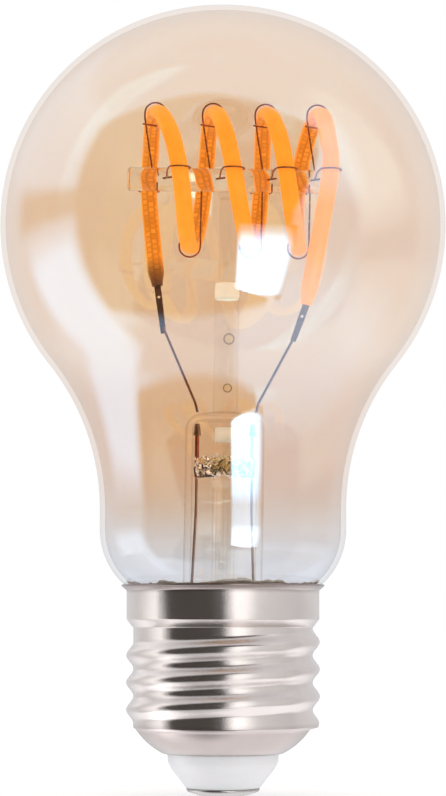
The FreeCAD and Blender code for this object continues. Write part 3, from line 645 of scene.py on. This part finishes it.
def make_shell(material):
    """The pressed screw shell: turned rim, skirt, threaded barrel and rounded bowl."""
    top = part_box("screw_shell")[1][2] / MM
    barrel_top, barrel_steps = ROOT_TOP - 0.1, 150
    outside = outline_points(
        [
            (RIM_RADIUS - 0.12, top),
            (RIM_RADIUS, top - 0.1),
            (RIM_RADIUS, top - 0.24),
            (RIM_RADIUS - 0.14, top - 0.33),
            (SKIRT_RADIUS + 0.12, SKIRT_TOP + 0.02, 0.3),
            (SKIRT_RADIUS, SKIRT_TOP - 0.2),
            (SKIRT_RADIUS, SKIRT_BOTTOM + 0.25, -0.5),
            (SKIRT_RADIUS - 0.2, SKIRT_BOTTOM - 0.05),
            (ROOT_RADIUS + 0.18, ROOT_TOP + 0.15, 0.4),
            (ROOT_RADIUS, barrel_top),
        ],
        12,
    )
    barrel = [
        Vector((ROOT_RADIUS, barrel_top - (barrel_top - ROOT_BOTTOM) * step / barrel_steps))
        for step in range(1, barrel_steps)
    ]
    bowl = outline_points(
        [
            (ROOT_RADIUS, ROOT_BOTTOM, -BOWL_CURVE),
            (BOWL_EDGE[0] + 0.05, BOWL_EDGE[1] + 0.02),
            (BOWL_EDGE[0] - 0.1, BOWL_EDGE[1] + 0.05),
        ],
        2,
    )
    inside = outline_points(
        [
            (BOWL_EDGE[0] - 0.12, BOWL_EDGE[1] + SHEET, BOWL_CURVE - SHEET),
            (ROOT_RADIUS - SHEET, ROOT_BOTTOM),
            (ROOT_RADIUS - SHEET, ROOT_TOP),
            (SKIRT_RADIUS - SHEET, SKIRT_BOTTOM),
            (SKIRT_RADIUS - SHEET, SKIRT_TOP + SHEET),
            (RIM_RADIUS - SHEET - 0.1, top),
        ],
        4,
    )

    def threaded(radius, height, angle):
        on_barrel = radius > ROOT_RADIUS - 0.2 and THREAD_START - 1.6 < height < ROOT_TOP + 0.9
        if not on_barrel:
            return radius
        return max(radius, ROOT_RADIUS + THREAD_DEPTH * thread_height(angle, height))

    verts, faces = lathe(outside + barrel + bowl + inside, 288, shape=threaded)
    new_piece("cap_shell", verts, faces, material, "screw_shell")


def make_cap_end(white, metal, solder):
    """The insulator, the riveted contact disc and the bead of solder in the rivet."""
    insulator = [
        (1.5, 0.9), (4.7, 0.9), (4.95, 1.0), (6.2, 2.6, 6.0), (7.42, 4.5), (7.45, 6.0),
        (8.9, 7.1), (8.75, 7.5), (1.5, 7.5),
    ]
    verts, faces = lathe(outline_points(insulator, 3), 120)
    new_piece("cap_insulator", verts, faces, white, "insulator")
    disc = [
        (0.9, 0.36), (1.05, 0.05), (1.3, 0.0), (3.2, 0.0), (4.6, 0.42, 0.6), (4.9, 0.7),
        (4.9, 0.9), (1.4, 0.9), (1.4, 7.7), (0.9, 7.7),
    ]
    verts, faces = lathe(outline_points(disc, 8), 96)
    new_piece("contact_disc", verts, faces, metal, "centre_contact")
    bead = [(0, 0.12), (0.5, 0.16), (0.8, 0.35), (0.86, 0.6), (0.86, 1.6), (0, 1.6)]
    verts, faces = lathe([Vector(p) for p in bead], 32)
    new_piece("contact_bead", verts, faces, solder, "contact_solder")


def inner_neck(height):
    """The glass neck's inner radius at a height below the waist."""
    heel = WAIST_RADIUS - HEEL_RADIUS + math.sqrt(HEEL_RADIUS**2 - (height - HEEL_HEIGHT) ** 2)
    return (NECK_RADIUS if height < NECK_TOP else heel) - GLASS_WALL


def make_cement(material):
    """Cement squeezed up unevenly between the glass heel and the rim."""
    sides, top_steps, outer_gap, inner_gap = 220, 7, 0.04, 0.16
    verts = []
    for side in range(sides):
        angle = 2 * math.pi * side / sides
        ragged = noise.fractal(Vector((math.cos(angle) * 3, math.sin(angle) * 3, 0.4)), 0.7, 2.2, 4)
        crest = CEMENT_LINE + 0.55 * max(ragged + 0.25, -0.6)
        crest = min(max(crest, CEMENT_LINE - 0.5), CEMENT_LINE + 0.8)
        rise = (crest - CEMENT_FOOT) / (top_steps - 1)
        heights = [CEMENT_FOOT + rise * step for step in range(top_steps)]
        ring = [(inner_neck(height) - outer_gap, height) for height in heights]
        ring += [(inner_neck(height) - inner_gap - 0.05 * ragged, height) for height in reversed(heights)]
        for reach, height in ring:
            verts.append(Vector((reach * math.cos(angle), reach * math.sin(angle), height)))
    ring_size = 2 * top_steps
    faces = []
    for side in range(sides):
        low, high = side * ring_size, ((side + 1) % sides) * ring_size
        for step in range(ring_size):
            after = (step + 1) % ring_size
            faces.append((low + step, high + step, high + after, low + after))
    new_piece("cement_line", verts, faces, material)


def along_rod(quarters):
    """The coil's place along the rod, smoothly between its quarter turns."""
    last = len(QUARTER_TURNS) - 1
    index = min(int(quarters), last - 1)
    part = quarters - index
    before = QUARTER_TURNS[max(index - 1, 0)]
    here, after = QUARTER_TURNS[index], QUARTER_TURNS[index + 1]
    beyond = QUARTER_TURNS[min(index + 2, last)]
    start_slope, end_slope, drift = (after - before) / 2, (beyond - here) / 2, after - here
    return (
        here
        + start_slope * part
        + (3 * drift - 2 * start_slope - end_slope) * part**2
        + (start_slope + end_slope - 2 * drift) * part**3
    )


def coil_point(quarters):
    """The coil's centre line, counted in quarter turns from its left end."""
    angle = math.radians(90 * (quarters - 1))
    return Vector(
        (along_rod(quarters), -COIL_RADIUS * math.sin(angle), ROD_HEIGHT + COIL_RADIUS * math.cos(angle))
    )


def make_filament(material):
    """The silicone sleeve of the filament, from one end tab round the coil to the other."""
    samples = 3
    coil = [coil_point(step / samples) for step in range((len(QUARTER_TURNS) - 1) * samples + 1)]
    left = [LEFT_END, LEFT_END * 0.5 + coil[0] * 0.5 - TAIL_BOW]
    right = [RIGHT_END * 0.5 + coil[-1] * 0.5 + TAIL_BOW, RIGHT_END]
    path = [lean(point) for point in smooth_path(left + coil + right, 14)]
    half_wide, half_deep, sides = SILICONE_WIDTH / 2, SILICONE_THICKNESS / 2, 28
    section = [
        (half_wide * math.cos(2 * math.pi * side / sides), half_deep * math.sin(2 * math.pi * side / sides))
        for side in range(sides)
    ]
    verts, faces, uvs = sweep(path, section, Vector((1, 0, 0)), end_taper(path, 0.66, 2.2))
    new_piece("filament_coat", verts, faces, material, "filament_silicone", uvs)


def make_stem(material):
    """The stem tube, domed at its top and flared to the neck at its foot."""
    inner = STEM_RADIUS - STEM_WALL
    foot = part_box("stem_flare")[0][2] / MM + 0.4
    points = outline_points(
        [
            (0, DOME_HEIGHT + 0.25, -14.0),
            (STEM_RADIUS - DOME_CORNER, DOME_HEIGHT - 0.15, -DOME_CORNER),
            (STEM_RADIUS, DOME_HEIGHT - DOME_CORNER),
            (STEM_RADIUS, FLARE_HEIGHT, 5.0),
            (STEM_RADIUS + 6.0, foot + 0.8),
            (STEM_RADIUS + 6.0, foot),
            (STEM_RADIUS + 5.2, foot, -5.0),
            (inner, FLARE_HEIGHT - STEM_WALL),
            (inner, DOME_HEIGHT - DOME_CORNER, DOME_CORNER - STEM_WALL),
            (STEM_RADIUS - DOME_CORNER, DOME_HEIGHT - STEM_WALL - 0.1),
            (0, DOME_HEIGHT - STEM_WALL),
        ],
        6,
    )
    verts, faces = lathe(points, 96, closed=False, place=lean)
    new_piece("stem_glass", verts, faces, material, "stem_flare")


def make_seal(material):
    """The press seal: glass squeezed into lumps round the wires."""
    bottom, top, middle = SEAL_BOTTOM, SEAL_BOTTOM + SEAL_HEIGHT, SEAL_BOTTOM + SEAL_HEIGHT / 2
    side_radius, side_steps, chamfer = 4.3, 10, 0.25

    def lumpy(radius, height, angle):
        place = Vector((math.cos(angle) * 1.6, math.sin(angle) * 1.6, height * 1.1))
        return radius * (1 - 0.24 * abs(noise.noise(place * 1.5)) - 0.12 * abs(noise.noise(place * 3.3)))

    points = [(0, bottom + 0.3)]
    points += [(4.35 * part, bottom + chamfer * (1 - part)) for part in (0.3, 0.6, 0.85)]
    rise = (SEAL_HEIGHT - 2 * chamfer) / side_steps
    points += [(side_radius, bottom + chamfer + rise * step) for step in range(side_steps + 1)]
    points += [(4.2 * part, top - 0.05) for part in (0.85, 0.6, 0.3, 0)]
    verts, faces = lathe([Vector(p) for p in points], 72, closed=False, shape=lumpy)
    moved = []
    for vert in verts:
        inward = 0.0 if vert.length == 0 else abs(noise.noise(vert * 1.1)) * 2.2
        toward = 1 if vert.z < middle else -1
        moved.append(lean(Vector((vert.x, vert.y, vert.z + toward * inward))))
    new_piece("seal_glass", moved, faces, material, "press_seal")


def ball_shell(centre, radius):
    """A ball's vertices and faces."""
    sides, rings = 24, 12
    turns = [math.pi * step / rings for step in range(rings + 1)]
    points = [Vector((radius * math.sin(turn), centre.z - radius * math.cos(turn))) for turn in turns]
    points[0].x = points[-1].x = 0
    verts, faces = lathe(points, sides, closed=False)
    return [Vector((v.x + centre.x, v.y + centre.y, v.z)) for v in verts], faces


def turned_glass(name, points, material, node=None, steps=6.0):
    """A solid of clear glass turned about the stem's axis."""
    verts, faces = lathe(outline_points(points, steps), 64, closed=False, place=lean)
    new_piece(name, verts, faces, material, node)


def make_pillars(material, frosted, bubble):
    """The stepped glass pillar, with two bubbles and a frosted shoulder in its lower part that glows with
    painted light.
    """
    for name, (centre, radius) in BUBBLES.items():
        verts, faces = ball_shell(Vector(centre), radius)
        new_piece(name, [lean(v) for v in verts], faces, bubble)
    lower = [
        (0, DOME_HEIGHT),
        (PILLAR_WIDE, DOME_HEIGHT),
        (PILLAR_WIDE * 0.97, 60.0),
        (PILLAR_WIDE, FROST_BOTTOM),
        (0, FROST_BOTTOM),
    ]
    turned_glass("pillar_lower_glass", lower, material, "pillar_lower")
    shoulder = [
        (0, FROST_BOTTOM),
        (PILLAR_WIDE * 0.94, FROST_BOTTOM),
        (PILLAR_WIDE, FROST_BOTTOM + 0.4),
        (PILLAR_WIDE * 0.96, PILLAR_STEP - 0.1),
        (PILLAR_WIDE * 0.9, PILLAR_STEP),
        (0, PILLAR_STEP),
    ]
    # The shoulder's frosted material glows by emission, a painted light.
    turned_glass("pillar_shoulder", shoulder, frosted)
    bead_top = ROD_HEIGHT - ROD_RADIUS
    bead_bottom = bead_top - BEAD_HEIGHT
    upper = [
        (0, PILLAR_STEP),
        (PILLAR_THIN, PILLAR_STEP),
        (PILLAR_THIN * 0.96, 75.0),
        (PILLAR_THIN, bead_bottom),
        (0, bead_bottom),
    ]
    turned_glass("pillar_upper_glass", upper, material, "pillar_upper")
    bead = [
        (0, bead_bottom),
        (PILLAR_THIN + 0.05, bead_bottom, 0.6),
        (PILLAR_THIN, bead_top),
        (0, bead_top),
    ]
    turned_glass("pillar_bead", bead, material, "pillar_joint", 10.0)


def make_exhaust_tip(frosted):
    """The ground tip of the exhaust tube under the dome, in frosted glass that glows with painted light."""
    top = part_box("exhaust_tube")[1][2] / MM - 0.05
    bottom = top - TIP_LENGTH
    points = ((TIP_INNER, bottom), (TIP_OUTER, bottom), (TIP_OUTER, top), (TIP_INNER, top))
    verts, faces = lathe([Vector(p) for p in points], 48, place=lean)
    new_piece("exhaust_tip", verts, faces, frosted)


def make_cross_rod(material):
    """The cross rod with fire-rounded ends and a faint waviness."""
    shoulder, straight, steps = ROD_RADIUS - ROD_ROUNDING, ROD_REACH - 1.0, 40
    points = outline_points(
        [(0, -ROD_REACH), (shoulder, -ROD_REACH, ROD_ROUNDING), (ROD_RADIUS, -ROD_REACH + ROD_ROUNDING)], 15
    )
    for step in range(steps + 1):
        wave = 1 - 0.008 * (1 + math.sin(step * 1.7))
        points.append(Vector((ROD_RADIUS * wave, -straight + 2 * straight * step / steps)))
    points += outline_points(
        [(ROD_RADIUS, ROD_REACH - ROD_ROUNDING, ROD_ROUNDING), (shoulder, ROD_REACH), (0, ROD_REACH)], 15
    )

    def lay(vert):
        return lean(Vector((vert.z, -vert.y, vert.x + ROD_HEIGHT)))

    verts, faces = lathe(points, 64, closed=False, place=lay)
    faces = [tuple(reversed(face)) for face in faces]
    new_piece("cross_rod_glass", verts, faces, material, "cross_rod")


def make_tab(name, node, material, top, foot):
    """A flat tab with a punched hole, narrower at its crimped foot."""
    travel = (foot - top).normalized()
    across = (Vector((1, 0, 0)) - travel * travel.x).normalized()
    outward = travel.cross(across)
    length = (foot - top).length
    sides = 16
    hole, square = [], []
    for side in range(sides):
        angle = 2 * math.pi * side / sides
        turn = Vector((math.cos(angle), math.sin(angle)))
        hole.append(Vector((0, TAB_HOLE_PLACE)) + turn * TAB_HOLE)
        square.append(Vector((0, TAB_HOLE_PLACE)) + turn * (TAB_HALF_WIDTH / max(abs(turn.x), abs(turn.y))))
    foot_half = TAB_HALF_WIDTH * 0.8
    ends = [(-TAB_HALF_WIDTH, 0.04), (TAB_HALF_WIDTH, 0.04), (foot_half, length), (-foot_half, length)]
    flat = hole + square + [Vector(p) for p in ends]

    # Corners of the square round the hole, counted in steps of the ring, and the tab's own four corners
    lower_left, lower_right = sides + 10, sides + 14
    upper_right, upper_left = sides + 2, sides + 6
    top_left, top_right, foot_right, foot_left = range(2 * sides, 2 * sides + 4)
    faces = [(side, (side + 1) % sides, sides + (side + 1) % sides, sides + side) for side in range(sides)]
    faces.append((*range(lower_left, lower_right + 1), top_right, top_left))
    faces.append((*range(upper_right, upper_left + 1), foot_left, foot_right))
    count = len(flat)
    verts = [top + across * p.x + travel * p.y + outward * TAB_HALF_THICKNESS for p in flat]
    verts += [top + across * p.x + travel * p.y - outward * TAB_HALF_THICKNESS for p in flat]
    solid = list(faces) + [tuple(index + count for index in reversed(face)) for face in faces]
    solid += [(side, side + count, (side + 1) % sides + count, (side + 1) % sides) for side in range(sides)]
    border = [
        top_left, top_right, *reversed(range(lower_right, 2 * sides)), sides, sides + 1, upper_right,
        foot_right, foot_left, *range(upper_left, lower_left + 1),
    ]
    for index, here in enumerate(border):
        after = border[(index + 1) % len(border)]
        solid.append((here, after, after + count, here + count))
    piece = new_piece(name, [lean(v) for v in verts], solid, material, node)
    for polygon in piece.data.polygons:
        polygon.use_smooth = False


def new_stage(name, verts, faces, material):
    """A plain mesh of the stage, in metres."""
    mesh = bpy.data.meshes.new(name)
    mesh.from_pydata(verts, [], faces)
    mesh.materials.append(material)
    thing = bpy.data.objects.new(name, mesh)
    bpy.context.scene.collection.objects.link(thing)
    return thing


def make_floor():
    """A pale floor that glows a little, left out of what the glass and the metal mirror."""
    material, nodes = new_material("pale_floor")
    speck = nodes.noise(object_place(nodes), 30.0, 2.0)
    colour = nodes.ramp(speck, [(0.0, (0.93, 0.93, 0.93)), (1.0, (0.96, 0.96, 0.96))])
    nodes.output(
        principled(
            nodes, Base_Color=colour, Roughness=0.8, Emission_Color=(1.0, 1.0, 1.0),
            Emission_Strength=FLOOR_GLOW,
        )
    )
    reach = FLOOR_REACH
    corners = [(-reach, -reach, 0), (reach, -reach, 0), (reach, reach, 0), (-reach, reach, 0)]
    floor = new_stage("floor", corners, [(0, 1, 2, 3)], material)
    floor.location.z = -FLOOR_DROP
    floor.visible_glossy = False
    floor.visible_transmission = False


def make_glow(name, verts, faces, material):
    """A glowing part of the stage that is seen only in reflections."""
    glow = new_stage(name, verts, faces, material)
    glow.visible_camera = False
    glow.visible_diffuse = False
    glow.visible_transmission = False
    glow.visible_shadow = False


def grey_ramp(nodes, factor, stops):
    """A ramp of greys from (place, level) stops."""
    return nodes.ramp(factor, [(place, (level, level, level)) for place, level in stops])


def output_glow(nodes, colour, strength):
    glow = nodes.add("ShaderNodeEmission")
    nodes.link(colour, glow.inputs["Color"])
    glow.inputs["Strength"].default_value = strength
    nodes.output(glow.outputs[0])


def direction_band(nodes, value, low, high, soft):
    """1 where value is between low and high, with soft edges."""
    rise = nodes.add("ShaderNodeMapRange", interpolation_type="SMOOTHSTEP")
    rise.inputs["From Min"].default_value = low - soft
    rise.inputs["From Max"].default_value = low + soft
    nodes.link(value, rise.inputs["Value"])
    fall = nodes.add("ShaderNodeMapRange", interpolation_type="SMOOTHSTEP")
    fall.inputs["From Min"].default_value = high - soft
    fall.inputs["From Max"].default_value = high + soft
    fall.inputs["To Min"].default_value = 1.0
    fall.inputs["To Max"].default_value = 0.0
    nodes.link(value, fall.inputs["Value"])
    return nodes.times(rise.outputs[0], fall.outputs[0])


def direction_patch(nodes, azimuth, elevation, sides, side_soft, heights, height_soft):
    """1 in a patch of directions between two azimuths and two elevations, with soft edges."""
    across = direction_band(nodes, azimuth, *sides, side_soft)
    return nodes.times(across, direction_band(nodes, elevation, *heights, height_soft))


def make_studio():
    """A white studio with a dark camera side, set by azimuth from the camera and elevation, in degrees."""
    world = bpy.data.worlds.new("studio")
    world.use_nodes = True
    nodes = Nodes(world.node_tree)
    maths, times, beyond = nodes.maths, nodes.times, 400.0
    coordinates = nodes.add("ShaderNodeTexCoord")
    split = nodes.add("ShaderNodeSeparateXYZ")
    nodes.link(coordinates.outputs["Generated"], split.inputs[0])
    turn = maths("ARCTAN2", split.outputs[0], times(split.outputs[1], -1.0))
    azimuth = times(turn, math.degrees(1))
    elevation = times(maths("ARCSINE", split.outputs[2]), math.degrees(1))

    # The dark zone behind the camera, with arched top and bottom edges and a leaning right edge
    arch = times(maths("POWER", maths("ADD", azimuth, 10.0), 2.0), 0.0048)
    ceiling = maths("SUBTRACT", 62.0, arch)
    under_ceiling = direction_band(nodes, maths("SUBTRACT", ceiling, elevation), 0.0, beyond, 2.0)
    slant = maths("MAXIMUM", times(elevation, 0.62), times(elevation, 0.12))
    right_edge = maths("ADD", slant, 36.0)
    left_of_edge = direction_band(nodes, maths("SUBTRACT", right_edge, azimuth), 0.0, beyond, 2.0)
    hollow = times(maths("POWER", maths("ADD", azimuth, 15.0), 2.0), 0.004)
    ground = maths("SUBTRACT", hollow, 55.0)
    over_ground = direction_band(nodes, maths("SUBTRACT", elevation, ground), 0.0, beyond, 4.0)
    dark = times(under_ceiling, over_ground)
    dark = times(dark, direction_band(nodes, azimuth, -80, 200, 3))
    dark = times(dark, left_of_edge)

    # Patches of the studio, each painted over the ones before it
    patches = (
        (direction_band(nodes, elevation, -200, -25, 14), (1.35, 1.35, 1.38)),
        (direction_patch(nodes, azimuth, elevation, (-84, 14), 8, (-80, -46), 6), (0.70, 0.70, 0.72)),
        (direction_patch(nodes, azimuth, elevation, (20, 110), 12, (-18, 10), 6), (0.80, 0.80, 0.82)),
        (direction_patch(nodes, azimuth, elevation, (30, 76), 8, (10, 44), 8), (1.35, 1.35, 1.38)),
        (direction_patch(nodes, azimuth, elevation, (-150, -84), 8, (14, 46), 4), (1.12, 1.12, 1.15)),
        (direction_patch(nodes, azimuth, elevation, (-122, -83), 6, (-54, -4), 8), (2.1, 2.1, 2.15)),
        (direction_patch(nodes, azimuth, elevation, (-128, -76), 6, (3, 13), 3), (0.15, 0.15, 0.15)),
        (dark, (0.034, 0.026, 0.021)),
    )
    level = (0.80, 0.80, 0.82)
    for patch, colour in patches:
        level = nodes.mix(patch, level, colour)

    # The camera and matt surfaces see plain white, and glass that bends light sees mostly white
    path = nodes.add("ShaderNodeLightPath")
    plain = maths("MAXIMUM", path.outputs["Is Camera Ray"], path.outputs["Is Diffuse Ray"])
    behind = direction_band(nodes, maths("ABSOLUTE", azimuth), 84, beyond, 6)
    share = maths("ADD", times(behind, 0.4), 0.6)
    through = times(path.outputs["Is Transmission Ray"], share)
    seen = nodes.mix(maths("MAXIMUM", plain, through), level, (1.0, 1.0, 1.0))
    background = nodes.add("ShaderNodeBackground")
    nodes.link(seen, background.inputs["Color"])
    out = nodes.add("ShaderNodeOutputWorld")
    nodes.link(background.outputs[0], out.inputs["Surface"])
    bpy.context.scene.world = world


def make_soft_box():
    """A window-like light close to the bulb on the camera's right, fading at its top and its sides."""
    material, nodes = new_material("soft_box_cloth")
    across, _, height = object_axes(nodes)
    from_top = nodes.maths("SUBTRACT", BOX_TOP, height)
    level = grey_ramp(
        nodes,
        nodes.times(from_top, 1 / (BOX_TOP - BOX_BOTTOM)),
        [(0.0, 0.03), (0.08, 0.2), (0.2, 0.65), (0.4, 1), (0.94, 1), (1.0, 0.2)],
    )
    from_left = nodes.maths("SUBTRACT", across, BOX_LEFT.x)
    sides = grey_ramp(
        nodes,
        nodes.times(from_left, 1 / (BOX_RIGHT.x - BOX_LEFT.x)),
        [(0.0, 0.05), (0.09, 1), (0.78, 1), (1.0, 0.08)],
    )
    output_glow(nodes, nodes.mix(1.0, level, sides, "MULTIPLY"), BOX_LEVEL)
    corners = [
        (*BOX_LEFT, BOX_BOTTOM + BOX_SLANT),
        (*BOX_RIGHT, BOX_BOTTOM - BOX_SLANT),
        (*BOX_RIGHT, BOX_TOP),
        (*BOX_LEFT, BOX_TOP),
    ]
    make_glow("soft_box", corners, [(0, 1, 2, 3)], material)


def make_card(name, first, last, stops):
    """A small curved card beside the cap, between two azimuths from the camera in degrees."""
    material, nodes = new_material(name + "_face")
    across, away, _ = object_axes(nodes)
    turn = nodes.maths("ARCTAN2", across, nodes.times(away, -1.0))
    azimuth = nodes.times(turn, math.degrees(1))
    part = nodes.times(nodes.maths("SUBTRACT", azimuth, first), 1 / (last - first))
    grain = nodes.maths("SUBTRACT", nodes.noise(object_place(nodes), 1400.0, 2.0), 0.5)
    part = nodes.maths("ADD", part, nodes.times(grain, CARD_GRAIN))
    output_glow(nodes, grey_ramp(nodes, part, stops), CARD_LEVEL)
    verts = []
    for step in range(CARD_STEPS + 1):
        angle = math.radians(first + (last - first) * step / CARD_STEPS)
        for height in (CARD_BOTTOM, CARD_TOP):
            verts.append((CARD_RADIUS * math.sin(angle), -CARD_RADIUS * math.cos(angle), height))
    faces = [(2 * step, 2 * step + 2, 2 * step + 3, 2 * step + 1) for step in range(CARD_STEPS)]
    make_glow(name, verts, faces, material)


def make_camera():
    data = bpy.data.cameras.new("camera")
    data.lens = LENS
    data.sensor_width = SENSOR
    data.clip_start = 0.01
    camera = bpy.data.objects.new("camera", data)
    camera.location = EYE
    camera.rotation_euler = (math.radians(90) + EYE_PITCH, 0, 0)
    bpy.context.scene.collection.objects.link(camera)
    bpy.context.scene.camera = camera


def paint_nodes(materials):
    """Gives the CAD nodes that stay in view their materials."""
    for name, material in materials.items():
        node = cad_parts[name]
        node.data.materials.clear()
        node.data.materials.append(material)


def main():
    make_camera()
    make_studio()
    make_soft_box()
    make_card(
        "right_card", -4, 80,
        [(0.0, 0.03), (0.08, 0.03), (0.13, 1.0), (0.29, 1.0), (0.38, 0.62), (1.0, 0.50)],
    )
    make_card("left_card", -98, -58, [(0.0, 0.55), (0.32, 0.58), (0.75, 0.95), (1.0, 1.0)])
    make_floor()
    scene = bpy.context.scene
    scene.view_settings.view_transform = "Standard"
    scene.cycles.transparent_max_bounces = 32

    stem = clear_sheet("stem_glass_look", (0.985, 0.98, 0.97), (0.80, 0.78, 0.75))
    pillar = clear_sheet("pillar_glass_look", (0.97, 0.965, 0.955), (0.84, 0.81, 0.76), 0.05)
    seal = solid_glass("seal_glass_look", (0.88, 0.80, 0.55), 1.0, 500.0)
    rod = solid_glass("rod_glass_look", (0.97, 0.94, 0.88))
    frosted = frosted_glass_painted_glow()
    shell = nickel("bright_nickel", (0.74, 0.68, 0.655), 0.17)
    contact = nickel("contact_nickel", (0.74, 0.72, 0.70), 0.22)
    lead = worn_metal("dull_nickel", (0.50, 0.30, 0.21), 0.42)
    hook = worn_metal("dark_support_wire", (0.50, 0.21, 0.10), 0.45)
    dumet = worn_metal("copper_clad_wire", (0.62, 0.17, 0.07), 0.35)
    tab = worn_metal("tab_metal", (0.38, 0.25, 0.19), 0.50)
    weld = worn_metal("weld_scale", (0.24, 0.14, 0.10), 0.6)
    solder = worn_metal("solder", (0.62, 0.61, 0.60), 0.3, 0.1)
    shield = worn_metal("shield_can", (0.62, 0.62, 0.62), 0.3, 0.08)
    antenna = worn_metal("antenna_metal", (0.75, 0.52, 0.22), 0.3, 0.12)
    white = plastic("white_insulator", (0.80, 0.80, 0.815), 0.3, 300.0, 0.02, 0.15, 0.15)
    cement = plastic("baked_cement", (0.72, 0.61, 0.48), 0.7, 2500.0, 0.35)
    board = plastic("board_laminate", (0.03, 0.16, 0.07), 0.35)
    package = plastic("black_package", (0.02, 0.02, 0.022), 0.5)
    sleeve = plastic("capacitor_sleeve", (0.03, 0.04, 0.07), 0.3)
    ferrite = plastic("choke_core", (0.06, 0.055, 0.055), 0.6)
    resistor = plastic("resistor_body", (0.35, 0.42, 0.30), 0.6)
    hookup = plastic("hookup_insulation", (0.60, 0.05, 0.03), 0.45)
    strip = plastic("circuit_strip", (0.40, 0.14, 0.03), 0.5)
    chip = plastic("led_die", (0.90, 0.62, 0.12), 0.3)

    make_bulb(amber_glass())
    make_shell(shell)
    make_cap_end(white, contact, solder)
    make_cement(cement)
    make_filament(silicone())
    make_stem(stem)
    make_seal(seal)
    make_pillars(pillar, frosted, bubble_skin())
    make_exhaust_tip(frosted)
    make_cross_rod(rod)
    make_tab("left_tab_strip", "tab_left", tab, LEFT_END, LEFT_TAB_FOOT)
    make_tab("right_tab_strip", "tab_right", tab, RIGHT_END, RIGHT_TAB_FOOT)
    paint_nodes({
        "cap_cement": cement, "exhaust_tube": stem, "filament_substrate": strip, "led_chips": chip,
        "weld_left": weld, "weld_right": weld,
        "lead_upper_left": lead, "lead_upper_right": lead, "lead_sleeve_left": lead,
        "lead_sleeve_right": lead, "lead_dumet_left": dumet, "lead_dumet_right": dumet,
        "lead_lower_left": lead, "lead_lower_right": lead, "top_hooks": hook, "front_hooks": hook,
        "bottom_hooks": hook, "back_hooks": hook, "driver_board": board, "bridge_rectifier": package,
        "driver_chip": package, "radio_board": board, "radio_shield": shield,
        "storage_capacitor": sleeve, "choke": ferrite, "fuse_resistor": resistor,
        "antenna_wire": antenna, "contact_wire": hookup, "shell_wire": hookup,
    })


main()
